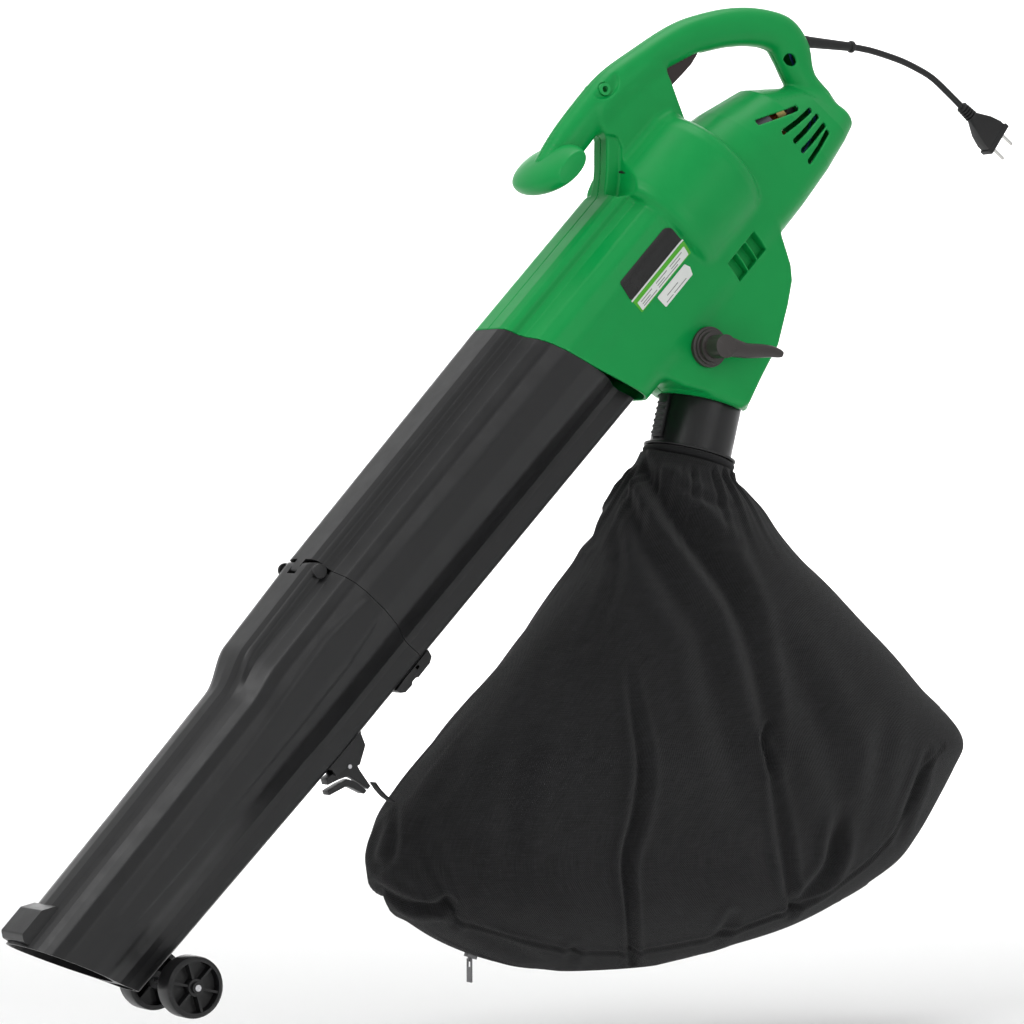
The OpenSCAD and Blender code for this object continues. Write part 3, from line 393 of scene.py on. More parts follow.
class Path:
    """distance to a line in a plane, with the half height and half width carried along it"""

    def __init__(self, pts, h=1.5, pad=70):
        P = catmull(pts, 6)
        self.lo = P[:, :2].min(0) - pad
        hi = P[:, :2].max(0) + pad
        self.h = h
        nu, nv = (int((hi[i] - self.lo[i]) / h) + 2 for i in (0, 1))
        U, V = np.meshgrid(self.lo[0] + h * np.arange(nu), self.lo[1] + h * np.arange(nv), indexing="ij")
        best = np.full(U.shape, 1e18)
        self.hh = np.zeros(U.shape)
        self.ww = np.zeros(U.shape)
        for i in range(len(P) - 1):
            a, b = P[i], P[i + 1]
            e = b[:2] - a[:2]
            t = np.clip(((U - a[0]) * e[0] + (V - a[1]) * e[1]) / max(float(e @ e), 1e-9), 0, 1)
            d = np.hypot(U - a[0] - t * e[0], V - a[1] - t * e[1])
            hh = a[2] + t * (b[2] - a[2])
            m = d / hh < best
            best[m] = (d / hh)[m]
            self.hh[m] = hh[m]
            self.ww[m] = (a[3] + t * (b[3] - a[3]))[m]
        self.g = best

    def at(self, g, u, v):
        x = np.clip((u - self.lo[0]) / self.h, 0, g.shape[0] - 1.001)
        y = np.clip((v - self.lo[1]) / self.h, 0, g.shape[1] - 1.001)
        i, j = x.astype(np.int32), y.astype(np.int32)
        fx, fy = x - i, y - j
        return (g[i, j] * (1 - fx) + g[i + 1, j] * fx) * (1 - fy) + (g[i, j + 1] * (1 - fx) + g[i + 1, j + 1] * fx) * fy

    def __call__(self, a, y, b, q=2.3):
        d, hh, ww = self.at(self.g, a, b), self.at(self.hh, a, b), self.at(self.ww, a, b)
        k = (d ** q + (np.abs(y) / ww) ** q) ** (1 / q)
        return (k - 1) * np.minimum(hh, ww)


def smin(a, b, k):
    h = np.maximum(k - np.abs(a - b), 0) / k
    return np.minimum(a, b) - h * h * k * 0.25


def smax(a, b, k):
    return -smin(-a, -b, k)


def slab(d2, y, half, r):
    """an outline pushed through +-half across the machine, with edges rounded by r"""
    u, v = d2 + r, np.abs(y) - half + r
    return np.minimum(np.maximum(u, v), 0) + np.hypot(np.maximum(u, 0), np.maximum(v, 0)) - r


def cap_hull(pu, pv, au, av, ra, bu, bv, rb):
    """distance to the hull of two circles, everything broadcastable"""
    eu, ev = bu - au, bv - av
    L = np.sqrt(eu * eu + ev * ev)
    L = np.maximum(L, 1e-6)
    eu, ev = eu / L, ev / L
    qu, qv = pu - au, pv - av
    y = qu * eu + qv * ev
    x = np.abs(qu * ev - qv * eu)
    s = np.clip((ra - rb) / L, -0.999, 0.999)
    c = np.sqrt(1 - s * s)
    k = -s * x + c * y
    return np.where(k < 0, np.hypot(x, y) - ra, np.where(k > c * L, np.hypot(x, y - L) - rb, x * c + y * s - ra))


def nets(f, lo, hi, h, steps=3):
    """surface nets: the zero level of f(a, y, b) as quads, each point moved on to the level, with normals"""
    lo, hi = np.asarray(lo, float), np.asarray(hi, float)
    n = np.ceil((hi - lo) / h).astype(int) + 1
    ax = [lo[i] + h * np.arange(n[i]) for i in range(3)]
    V = np.empty(n, np.float32)
    for i0 in range(0, n[0], 16):
        i1 = min(i0 + 16, n[0])
        V[i0:i1] = f(ax[0][i0:i1, None, None], ax[1][None, :, None], ax[2][None, None, :])
    ins = V < 0
    c = [ins[i:n[0] - 1 + i, j:n[1] - 1 + j, k:n[2] - 1 + k] for i in (0, 1) for j in (0, 1) for k in (0, 1)]
    s = sum(x.astype(np.int8) for x in c)
    cell = (s > 0) & (s < 8)
    idx = -np.ones(cell.shape, np.int32)
    I, J, K = np.nonzero(cell)
    idx[I, J, K] = np.arange(len(I))
    cor = np.array([[i, j, k] for i in (0, 1) for j in (0, 1) for k in (0, 1)])
    vals = np.stack([V[I + i, J + j, K + k] for i, j, k in cor], 1)
    acc = np.zeros((len(I), 3))
    cnt = np.zeros(len(I))
    for p in range(8):
        for q in range(p + 1, 8):
            if np.abs(cor[p] - cor[q]).sum() != 1:
                continue
            m = (vals[:, p] < 0) != (vals[:, q] < 0)
            t = vals[m, p] / (vals[m, p] - vals[m, q])
            acc[m] += cor[p] + t[:, None] * (cor[q] - cor[p])
            cnt[m] += 1
    P = lo + h * (np.stack([I, J, K], 1) + acc / cnt[:, None])
    faces = []
    for axis in range(3):
        a = [slice(None)] * 3
        b = [slice(None)] * 3
        a[axis], b[axis] = slice(0, n[axis] - 1), slice(1, n[axis])
        o1, o2 = [x for x in range(3) if x != axis]
        for o in (o1, o2):
            a[o] = slice(1, n[o] - 1)
            b[o] = slice(1, n[o] - 1)
        A, B = ins[tuple(a)], ins[tuple(b)]
        e = np.stack(np.nonzero(A != B), 1)
        flip = A[tuple(e.T)]
        base = e.copy()
        base[:, o1] += 1
        base[:, o2] += 1
        def at(d1, d2):
            q = base.copy()
            q[:, o1] -= d1
            q[:, o2] -= d2
            return idx[tuple(q.T)]
        quad = np.stack([at(1, 1), at(0, 1), at(0, 0), at(1, 0)], 1)
        if axis == 1:
            flip = ~flip
        quad[~flip] = quad[~flip][:, ::-1]
        faces.append(quad)
    F = np.concatenate(faces)
    F = F[(F >= 0).all(1)]

    def grad(P, e=0.25):
        g = np.stack([f(*(P + e * d).T) - f(*(P - e * d).T) for d in np.eye(3)], 1) / (2 * e)
        return g
    for _ in range(steps):
        g = grad(P)
        m = np.maximum((g * g).sum(1), 0.05)
        step = (f(*P.T) / m)[:, None] * g
        L = np.linalg.norm(step, axis=1)
        step *= (np.minimum(L, 0.45 * h) / np.maximum(L, 1e-9))[:, None]
        P = P - step
    g = grad(P, 0.35)
    N = g / np.maximum(np.linalg.norm(g, axis=1), 1e-9)[:, None]
    return P, F, N


# ---------------------------------------------------------------- green housing
TUBE_A = [(0, -19), (15, -19), (21, -15), (23, -9), (23, 4), (27, 13), (40, 25), (50, 38), (58, 62), (62, 88), (59, 106), (50, 116), (36, 122), (32, 127), (32, 134), (28, 139), (20, 141), (0, 141)]
TUBE_B = [(0, -16), (13, -16), (19, -12), (21, -6), (21, 6), (24, 14), (34, 26), (43, 38), (52, 62), (55, 88), (53, 102), (46, 111), (34, 118), (30, 123), (30, 130), (26, 135), (18, 137), (0, 137)]
TUBE_C = [(0, -15), (13, -15), (19, -11), (21, -5), (21, 6), (24, 14), (33, 26), (42, 38), (50, 60), (53, 84), (51, 98), (45, 108), (34, 115), (29, 120), (29, 126), (25, 131), (17, 133), (0, 133)]
TUBE_D = [(0, -14), (13, -14), (18, -10), (20, -4), (20, 7), (23, 15), (32, 27), (41, 38), (48, 58), (51, 78), (49, 92), (44, 101), (37, 107), (31, 111), (26, 114), (20, 117), (12, 119), (0, 120)]
TUBE_E = [(0, -7), (12, -7), (17, -4), (19, 2), (20, 10), (23, 18), (31, 29), (39, 39), (46, 56), (48, 72), (47, 85), (42, 95), (36, 101), (31, 105), (26, 108), (20, 111), (12, 113), (0, 114)]
HANDLE = [(270, 203, 12, 13), (300, 202, 18, 16), (340, 204, 18.4, 17), (380, 203, 18.4, 17), (428, 193, 17.5, 17), (458, 184, 18.4, 17), (479, 176, 18.6, 17), (498.5, 165, 19, 17), (519, 151.5, 19.3, 17), (537.5, 136, 19.4, 17), (553.5, 118, 19.4, 17), (562.5, 100, 20.5, 17), (560, 81, 21, 16), (552, 64, 18, 15), (547, 48, 16, 16), (545, 26, 18, 18)]
WEB = [(292, 120), (296, 143), (318, 164), (332, 177), (334, 186), (345, 208), (420, 198), (431, 178), (427, 165), (420, 148), (411, 126), (405, 100), (330, 90)]
BOX = [(184, 14), (194, -14), (205, -38), (226, -72), (240, -100), (246, -104), (279, -96), (313, -89), (350, -70), (371, -57), (381, -45), (392, -22), (399, 0), (404, 40), (390, 90), (300, 96), (200, 60)]
MOTOR = np.array([(395, 62, 58, 8, 25, 30), (440, 57, 53, 6, 24, 28), (490, 49, 45, 5, 20, 26), (530, 30, 30, 3, 14, 22), (552, 12, 20, 0, 8, 18), (561, 4, 12, -2, 5, 14)], float)
VENTS = [((456, 78), (503, 53)), ((469, 52), (515, 39)), ((473, 36), (517, 29)), ((473, 23), (515, 18)), ((471, 10), (512, 11))]


def full_ring(H):
    H = [tuple(p) for p in H]
    return H + [(-w, b) for w, b in H[-2:0:-1]]


neck2 = Field(fillet(full_ring(TUBE_A), [0] + [9, 5, 4, 5, 9, 24, 30, 30, 30, 16, 12, 4, 3, 5, 7, 7] + [0] + [7, 7, 5, 3, 4, 12, 16, 30, 30, 30, 24, 9, 5, 4, 5, 9], 5), 0.5, 50)
box2 = Field(fillet(BOX, [8, 8, 14, 10, 7, 7, 14, 14, 14, 10, 10, 14, 14, 20, 20, 20, 20], 5), 0.75, 60)
web2 = Field(fillet(WEB, [8, 10, 12, 6, 6, 14, 10, 6, 14, 14, 14, 8, 8], 5), 0.75, 60)
bulge2 = Field(fillet([(300, -10), (300, 66), (305, 73), (315, 75), (386, 75), (397, 72), (404, 64), (404, -10)], [0, 6, 10, 20, 16, 12, 8, 0], 5), 0.5, 40)
handle_path = Path(HANDLE)
EYE = (364, 213)


def motor_d(a, y, b):
    t = np.clip(a, 396, 560.9)
    v = [np.interp(t, MOTOR[:, 0], MOTOR[:, k]) for k in range(1, 6)]
    cb, cr, sb, sy, sr = v
    ya = np.abs(y)
    d = cap_hull(ya, b, 0 * t, cb, cr, sy, sb, sr)
    e = np.hypot(np.maximum(ya - sy, 0), b - sb) - sr
    d = np.minimum(d, e) * 0.94
    return smax(d, a - 559, 10)


def outlet_xyz(a, y, b):
    u, w = a - OUT_A, b - OUT_B
    return u * OC - w * OS, y, u * OS + w * OC


gusset2 = Field(fillet([(330, 186), (341, 172), (337, 160), (312, 138), (300, 130), (289, 139), (297, 149), (316, 166), (326, 178)], [5, 8, 8, 4, 5, 5, 6, 8, 4], 5), 0.75, 80)


def Fieldcut(a, b):
    return gusset2(a + 0 * b, b + 0 * a)


def outer(a, y, b):
    ya = np.abs(y)
    neck = smax(neck2(y, b + 0 * a), a - 340, 6)
    # raised sleeve at the foot of the neck, over the tube joint
    boxd = slab(box2(a, b), y, 50, 5.0)
    bul = bulge2(a, np.hypot(y, b - 76))
    mot = motor_d(a, y, b)
    d = smin(neck, bul, 5)
    d = smin(d, mot, 4)
    d = smin(d, boxd, 7)
    x, _, z = outlet_xyz(a, y, b)
    lip = smax(np.hypot(x, y) - 47.5, np.abs(z - 21) - 23, 5)
    d = smin(d, lip, 9)
    hd = handle_path(a, y, b)
    wb = slab(web2(a, b), y, 15.5, 4)
    # handle and web joined with a soft blend
    g = smin(hd, wb, 7)
    # saddle under the web
    sad = smax(smax(np.abs(a - 350) - 52, ya - 27 + 0.35 * (b - 122), 5), np.abs(b - 128) - 14, 6)
    g = smin(g, sad, 10)
    d = smin(d, g, 9)
    # channel in the web's front face, dished pad round the eyelet, three cells under the bulge
    d = smax(d, -smax(Fieldcut(a, b), 12.2 - ya, 3), 1.5)
    d = smax(d, -smax(np.hypot(a - 368, (b - 219) * 1.25) - 19, 13.0 - ya, 4), 1.5)
    for i in range(3):
        c = np.maximum(np.maximum(np.abs(a - 330.5 - 15.5 * i) - 6.9, np.abs(b - 0.5) - 12), 42.5 - ya)
        d = smax(d, -c, 1.5)
    return d


def cuts(a, y, b, d):
    ya = np.abs(y)
    # the tube joint
    d = smax(d, (161.6 - 0.387 * b - a) * 0.9325, 1.2)
    # outlet bore
    x, _, z = outlet_xyz(a, y, b)
    bore = np.maximum(np.hypot(x, y) - 42, np.maximum(z - 32, -z - 40))
    d = smax(d, -bore, 1.0)
    # strap eyelet: recessed pad with a hole
    d = smax(d, -(np.hypot(a - EYE[0], b - EYE[1]) - 6.1), 0.6)
    # lever hub
    d = smax(d, -np.maximum(np.hypot(a - 250, b + 29) - 9.2, -y - 0 - 200 + 0 * a), 0.4)
    # trigger mouth
    tm = np.maximum(np.maximum(ya - 7.6, np.abs(a - 449) - 31), np.abs(b - 168) - 20)
    d = smax(d, -tm, 1.2)
    # cooling slots
    for (p, q) in VENTS:
        e0, e1 = q[0] - p[0], q[1] - p[1]
        L = e0 * e0 + e1 * e1
        t = np.clip(((a - p[0]) * e0 + (b - p[1]) * e1) / L, 0, 1)
        s = np.hypot(a - p[0] - t * e0, b - p[1] - t * e1) - 2.7
        d = smax(d, -np.maximum(s, 22 - ya), 0.8)
    # cord-keeping hook through the rear strut
    s = np.hypot(a - 547.5, (b - 80.5) * 0.72) - 5.0
    d = smax(d, -s, 1.5)
    return d


WALL = 3.2


def shell(side):
    def f(a, y, b):
        o = outer(a, y, b)
        d = smax(o, -(o + WALL), 0.5)
        d = cuts(a, y, b, d)
        return smax(d, (-side) * y + 0.12, 0.7)
    return f


for side, node in ((-1, "housing_left"), (1, "housing_right")):
    y0, y1 = (-82, 1.5) if side < 0 else (-1.5, 82)
    h = 1.7
    P, F, Nn = nets(shell(side), (95, y0, -112), (590, y1, 232), h)
    o = make(node + "_look", W(P), F, MAT["green_plastic"], "housing", [node], normals=Wn(Nn))

# ---------------------------------------------------------------- front grip
rings = []
GY = [-43.0, -42.6, -41.8] + list(np.linspace(-40.5, 40.5, 45)) + [41.8, 42.6, 43.0]
for y in GY:
    k = (1 - (min(abs(y), 42) / 52) ** 2) ** 0.42 * (1 if abs(y) < 41.9 else 0.972 if abs(y) < 42.8 else 0.90)
    q = np.radians(np.arange(64) * 5.625)
    c, w = np.cos(q), np.sin(q)
    rings.append(np.stack([268 + 31 * k * np.sign(c) * np.abs(c) ** 0.92, 0 * q + y, 198 - 15 * k * np.sign(w) * np.abs(w) ** 0.9], 1))


def loft(name, R, mat, body, replaces=(), angle=38, close=True, uv=None):
    n, m = len(R[0]), len(R)
    V = np.concatenate(R)
    F = [[j * n + i, j * n + (i + 1) % n, (j + 1) * n + (i + 1) % n, (j + 1) * n + i] for j in range(m - 1) for i in range(n)]
    if close:
        F += [list(range(n))[::-1], [(m - 1) * n + i for i in range(n)]]
    o = make(name, V, F, mat, body, replaces, angle, uv=uv)
    bm = bmesh.new()
    bm.from_mesh(o.data)
    bmesh.ops.recalc_face_normals(bm, faces=bm.faces)
    bm.to_mesh(o.data)
    bm.free()
    return o


loft("front_grip_look", [W(r) for r in rings], MAT["green_plastic"], "housing", ["front_grip"])


# ---------------------------------------------------------------- suction tube
def mix(A, B, t):
    return [(x0 * (1 - t) + x1 * t, y0 * (1 - t) + y1 * t) for (x0, y0), (x1, y1) in zip(A, B)]


R_TUBE = [0] + [6, 4, 3, 4, 7, 20, 26, 26, 26, 12, 9, 4, 2, 3, 5, 6] + [0] + [6, 5, 3, 2, 4, 9, 12, 26, 26, 26, 20, 7, 4, 3, 4, 6]


def split_ring(Q, ref, step):
    """points added along the long edges, the same number on each ring"""
    L = np.linalg.norm(np.roll(ref, -1, 0) - ref, axis=1)
    N = np.maximum(1, np.ceil(L / step).astype(int))
    out = []
    for i in range(len(Q)):
        for k in range(N[i]):
            t = k / N[i]
            out.append(Q[i] * (1 - t) + Q[(i + 1) % len(Q)] * t)
    return np.array(out)


REF = fillet(full_ring(TUBE_B), R_TUBE, 3)
STEP = 3.0
# raised panel on each flank of the lower tube, [a, b]
PANEL2 = Field(fillet([(-196, 60), (-186, 84), (-250, 92), (-350, 82), (-480, 74), (-574, 72), (-578, 62), (-568, 54), (-480, 50), (-330, 50), (-250, 52)], [8, 8, 10, 10, 10, 6, 4, 6, 10, 10, 10], 4), 1.0, 40)


def tube_ring(H, a0, k=0.0, panel=False):
    Q = split_ring(fillet(full_ring(H), R_TUBE, 3), REF, STEP)
    P = np.stack([a0 + k * Q[:, 1], Q[:, 0], Q[:, 1]], 1)
    if panel:
        d = PANEL2(P[:, 0], P[:, 2])
        t = np.clip(0.5 - d / 2.2, 0, 1)
        P[:, 1] += np.sign(P[:, 1]) * 1.1 * (t * t * (3 - 2 * t)) * (np.abs(P[:, 1]) > 20)
    return P


def boolean(o, cutters, op="DIFFERENCE"):
    for c in cutters:
        md = o.modifiers.new("b", "BOOLEAN")
        md.operation = op
        md.solver = "EXACT"
        md.object = c
        bpy.context.view_layer.update()
        dg = bpy.context.evaluated_depsgraph_get()
        me = bpy.data.meshes.new_from_object(o.evaluated_get(dg))
        o.modifiers.clear()
        old = o.data
        o.data = me
        bpy.data.meshes.remove(old)
        cm = c.data
        bpy.data.objects.remove(c)
        bpy.data.meshes.remove(cm)
    o.data.polygons.foreach_set("use_smooth", [True] * len(o.data.polygons))
    o.data.set_sharp_from_angle(angle=math.radians(32))
    return o


def solid(name, R):
    """a temporary closed loft, used to cut"""
    n, m = len(R[0]), len(R)
    V = np.concatenate(R)
    F = [[j * n + i, j * n + (i + 1) % n, (j + 1) * n + (i + 1) % n, (j + 1) * n + i] for j in range(m - 1) for i in range(n)]
    F += [list(range(n))[::-1], [(m - 1) * n + i for i in range(n)]]
    me = bpy.data.meshes.new(name)
    me.from_pydata(V.tolist(), [], F)
    bm = bmesh.new()
    bm.from_mesh(me)
    bmesh.ops.recalc_face_normals(bm, faces=bm.faces)
    bm.to_mesh(me)
    bm.free()
    o = bpy.data.objects.new(name, me)
    bpy.context.scene.collection.objects.link(o)
    return o


def along(st, step=6.0, panel=False):
    """rings between stations [profile, a0, k]"""
    out = []
    for (A, a0, k0), (B, a1, k1) in zip(st[:-1], st[1:]):
        n = max(2, int(abs(a1 - a0) / step))
        for i in range(n):
            t = i / n
            u = t if abs(a1 - a0) > 80 else t * t * (3 - 2 * t)
            out.append(W(tube_ring(mix(A, B, u), a0 + (a1 - a0) * t, k0 + (k1 - k0) * t, panel)))
    out.append(W(tube_ring(st[-1][0], st[-1][1], st[-1][2], panel)))
    return out


DUCT_A = [(0, 13), (14, 14), (30, 23), (46, 37), (55, 62), (59, 88), (56, 104), (48, 113.5), (34, 119.5), (29.5, 125), (29.5, 133.5), (26.5, 137), (19, 138.6), (0, 138.6)]
DUCT_B = [(0, 14), (12, 15), (26, 24), (39, 38), (49, 62), (52.4, 88), (50, 101), (44, 109), (33, 115.4), (27.6, 121), (27.6, 129.5), (24.5, 133), (17, 134.6), (0, 134.6)]
DUCT_E = [(0, 18), (12, 19), (24, 28), (35.6, 40), (43.4, 56), (45.4, 72), (44.4, 84.4), (40, 93.6), (34.6, 99.4), (30, 103), (25, 106), (19, 108.8), (11.5, 110.6), (0, 111.5)]
BLOW_A = [(0, -16), (14, -16), (19, -12), (20, -8), (20, 3), (14, 9), (0, 9)]
BLOW_B = [(0, -13), (12, -13), (17, -10), (18, -5), (18, 5), (13, 10), (0, 10)]
BLOW_E = [(0, -4), (10, -4), (14, -2), (16, 3), (16, 9), (11, 13), (0, 13)]


DUCT_C = [(0, 14), (12, 15), (25, 24), (38, 38), (47, 60), (50.4, 84), (48.4, 97), (43, 105.6), (33, 112.2), (26.6, 118), (26.6, 125.4), (23.6, 129), (16, 130.6), (0, 130.6)]
DUCT_D = [(0, 15), (12, 16), (25, 25), (37.5, 38), (45.4, 58), (48.4, 78), (46.4, 91), (42, 99.4), (35.5, 105), (30, 109), (25, 112), (19, 114.8), (11.5, 116.6), (0, 117.5)]


def duct_ring(H, a0, k=0.0):
    Q = fillet(full_ring(H), [0] + [2] * (2 * len(H) - 3), 2)
    return W(np.stack([a0 + k * Q[:, 1], Q[:, 0], Q[:, 1]], 1))


def prism(P, y0, y1, r=0):
    """a temporary plate across the machine, from an outline in the machine's side plane"""
    Q = fillet(P, r, 4) if r else np.asarray(P, float)
    return solid("p", [W(np.stack([Q[:, 0], 0 * Q[:, 0] + y, Q[:, 1]], 1)) for y in (y0, y1)])


def rod(a, b, r, y0, y1, n=40):
    q = np.linspace(0, 2 * np.pi, n, endpoint=False)
    return solid("r", [W(np.stack([a + r * np.cos(q), 0 * q + y, b + r * np.sin(q)], 1)) for y in (y0, y1)])


ut = loft("upper_tube_look", along([(TUBE_B, -177.7, -0.1), (TUBE_A, 161.2, -0.387)], 12), MAT["black_plastic"], "housing", ["upper_tube"])
boolean(ut, [prism([(-150, 119), (-198, 119.4), (-204, 122), (-207.6, 127), (-207.6, 131), (-204, 136), (-199, 137), (-150, 137)], -7.4, 7.4)], "UNION")
boolean(ut, [solid("c", [duct_ring(DUCT_B, -210, -0.1), duct_ring(DUCT_B, -177, -0.1), duct_ring(DUCT_A, 158, -0.387), duct_ring(DUCT_A, 230, -0.387)]),
             solid("c", [duct_ring(BLOW_B, -200, -0.1), duct_ring(BLOW_A, 200, -0.387)]), rod(-199, 129, 4.05, -20, 20)])
lt = loft("lower_tube_look", along([(TUBE_E, -599, -0.395), (mix(TUBE_D, TUBE_E, 0.55), -480, 0), (TUBE_D, -345, 0), (TUBE_C, -296, 0), (TUBE_B, -178.3, -0.1)], 4.0, True), MAT["black_plastic"], "lower_tube", ["lower_tube"])
boolean(lt, [prism([(-594, 106), (-597, 114), (-609, 122), (-637, 122), (-641, 116), (-639, 106)], -22, 22, 3)], "UNION")
boolean(lt, [solid("c", [duct_ring(DUCT_E, -690, -0.395), duct_ring(DUCT_E, -602, -0.395), duct_ring(mix(DUCT_D, DUCT_E, 0.55), -480), duct_ring(DUCT_D, -344), duct_ring(DUCT_C, -293), duct_ring(DUCT_B, -182, -0.1), duct_ring(DUCT_B, -120, -0.1)]),
             solid("c", [duct_ring(BLOW_E, -660, -0.395), duct_ring(mix(BLOW_B, BLOW_E, 0.5), -380), duct_ring(BLOW_B, -160, -0.1)]),
             prism([(-150, 118.4), (-209, 118.4), (-209, 145), (-150, 145)], -7.7, 7.7),
             prism([(-150, 119.5), (-195.5, 119.5), (-194.2, 122.6), (-192, 125.2), (-191.2, 129), (-192, 132.8), (-194.2, 135.4), (-197.2, 136.8), (-197.4, 145), (-150, 145)], -40, 40),
             rod(-199, 129, 4.0, -40, 40)])


# ---------------------------------------------------------------- labels
def skin(a, b, off):
    """the near face of the housing at (a, b), stood off by a little"""
    lo, hi = np.full(a.shape, -85.0), np.full(a.shape, -20.0)
    for _ in range(26):
        m = (lo + hi) / 2
        f = outer(a, m, b)
        lo, hi = np.where(f > 0, m, lo), np.where(f > 0, hi, m)
    return np.stack([a, lo - off, b], -1)


def decal(name, poly, off, thick, mat, step=2.0, r=2.0):
    """a thin plate that follows the housing inside an outline in the side plane"""
    Q = fillet(poly, r, 4)
    bm = bmesh.new()
    vs = [bm.verts.new((p[0], 0, p[1])) for p in Q]
    bm.faces.new(vs)
    lo, hi = Q.min(0), Q.max(0)
    for x in np.arange(lo[0] + step, hi[0], step):
        bmesh.ops.bisect_plane(bm, geom=bm.verts[:] + bm.edges[:] + bm.faces[:], plane_co=(x, 0, 0), plane_no=(1, 0, 0))
    for z in np.arange(lo[1] + step, hi[1], step):
        bmesh.ops.bisect_plane(bm, geom=bm.verts[:] + bm.edges[:] + bm.faces[:], plane_co=(0, 0, z), plane_no=(0, 0, 1))
    bm.verts.index_update()
    P = np.array([v.co[:] for v in bm.verts])
    F = [[v.index for v in f.verts] for f in bm.faces]
    edge = [[v.index for v in e.verts] for e in bm.edges if len(e.link_faces) == 1]
    bm.free()
    n = len(P)
    V = np.concatenate([skin(P[:, 0], P[:, 2], off + thick), skin(P[:, 0], P[:, 2], off)])
    F = F + [[i + n for i in f[::-1]] for f in F] + [[e[0], e[1], e[1] + n, e[0] + n] for e in edge]
    o = make(name, W(V), F, mat, "housing", ["rating_labels"], angle=40)
    bm = bmesh.new()
    bm.from_mesh(o.data)
    bmesh.ops.recalc_face_normals(bm, faces=bm.faces)
    bm.to_mesh(o.data)
    bm.free()
    return o


ink = plastic("label_black", (0.006, 0.006, 0.006), 0.25, 300, 0.00002, 0.5, 0, 0.0, 0.1)
white = plastic("label_white", (0.74, 0.76, 0.74), 0.32, 300, 0.00002, 0.5, 0, 0.0, 0.04)
lime = plastic("label_lime", (0.07, 0.42, 0.012), 0.3, 300, 0.00002, 0.5, 0, 0.0, 0.05)
grey = plastic("label_grey", (0.22, 0.23, 0.22), 0.4, 300, 0.00002, 0.5, 0, 0.0, 0.05)
decal("label_black_plate", [(214, 69.5), (216, 92), (291, 92), (297, 87), (298, 69.5)], 0.15, 0.35, ink, 3, [3, 4, 8, 8, 1])
decal("label_rule", [(214, 67.6), (214, 69.3), (299, 69.3), (299, 67.6)], 0.15, 0.35, white, 4, 0.3)
decal("label_strip_edge", [(216, 52), (215, 67.3), (299, 67.3), (298, 52)], 0.12, 0.3, lime, 3, 1.5)
decal("label_strip", [(218, 53), (218, 63), (296, 63), (295, 53)], 0.42, 0.16, white, 3, 1)
decal("label_tag", [(240, 35.5), (239, 49.5), (285, 49.5), (288, 43), (285, 35.5)], 0.15, 0.35, white, 3, 1.5)
for k, (x0, x1, z) in enumerate([(222, 240, 60.6), (222, 235, 57.6), (222, 244, 55.2), (247, 265, 60.6), (247, 259, 57.6), (270, 290, 60.6), (270, 285, 57.6), (247, 279, 55.2)]):
    decal("label_mark_%d" % k, [(x0, z - 0.45), (x0, z + 0.45), (x1, z + 0.45), (x1, z - 0.45)], 0.58, 0.05, grey, 4, 0.1)
for k, (x0, x1, z) in enumerate([(244, 255, 38.2), (249, 267, 42.6), (257, 277, 38.4)]):
    decal("label_tag_mark_%d" % k, [(x0, z - 0.45), (x0, z + 0.45), (x1, z + 0.45), (x1, z - 0.45)], 0.5, 0.05, grey, 4, 0.1)

# ---------------------------------------------------------------- bag
BAG = np.array([(106, -362, 46.5, 46.5, 1, -12), (104, -372, 50, 49, 1, -11), (105, -384, 62, 53, 1, -8), (107, -404, 80, 58, 0.98, -5), (108, -430, 98, 64, 0.95, -2), (111, -458, 122, 70, 0.92, 0), (116, -486, 152, 76, 0.9, 0), (121, -534, 202, 82, 0.86, 0), (124, -582, 252, 86, 0.84, 0), (127, -618, 292, 87, 0.82, 0), (122, -646, 314, 87, 0.8, 0), (104, -672, 320, 86, 0.8, 0), (82, -702, 322, 85, 0.8, 0), (62, -738, 314, 82, 0.8, 0), (52, -768, 296, 78, 0.82, 0), (42, -796, 256, 70, 0.86, 0), (26, -822, 196, 56, 0.9, 0), (14, -842, 128, 38, 0.95, 0), (12, -854, 60, 20, 1, 0)], float)
NU = 380
st = catmull(BAG, 24)
seg = np.hypot(np.diff(st[:, 1]), np.maximum(np.abs(np.diff(st[:, 2])), np.abs(np.diff(st[:, 0]))))
cum = np.concatenate([[0], np.cumsum(seg)])
NV = 160
st = np.stack([np.interp(np.linspace(0, cum[-1], NV), cum, st[:, k]) for k in range(6)], 1)
tt = np.linspace(0, 2 * np.pi, 1441)
rows, uvr = [], []
for cx, z, wx, wy, p, tx in st:
    c, s = np.cos(tt), np.sin(tt)
    x = cx + wx * np.sign(c) * np.abs(c) ** p
    y = wy * np.sign(s) * np.abs(s) ** p
    zz = z + tx * np.sign(c) * np.abs(c) ** p
    L = np.concatenate([[0], np.cumsum(np.sqrt(np.diff(x) ** 2 + np.diff(y) ** 2 + np.diff(zz) ** 2))])
    g = np.linspace(0, L[-1], NU, endpoint=False)
    rows.append(np.stack([np.interp(g, L, x), np.interp(g, L, y), np.interp(g, L, zz)], 1))
    uvr.append(g - L[-1] / 2)
B3 = np.array(rows)
UVb = np.stack([np.array(uvr), np.repeat(np.linspace(0, cum[-1], NV)[:, None], NU, 1)], -1)


def px(u, v):
    """a place in the side view, worked on at 2.27 of its own units per unit of the frame, to row mm at the middle plane"""
    x, y = 340 + np.asarray(u, float) / 2.2712, 440 + np.asarray(v, float) / 2.2712
    return (x - 512) * 0.96 / 0.848 - 97.49, (512 - y) * 0.96 - 410.32


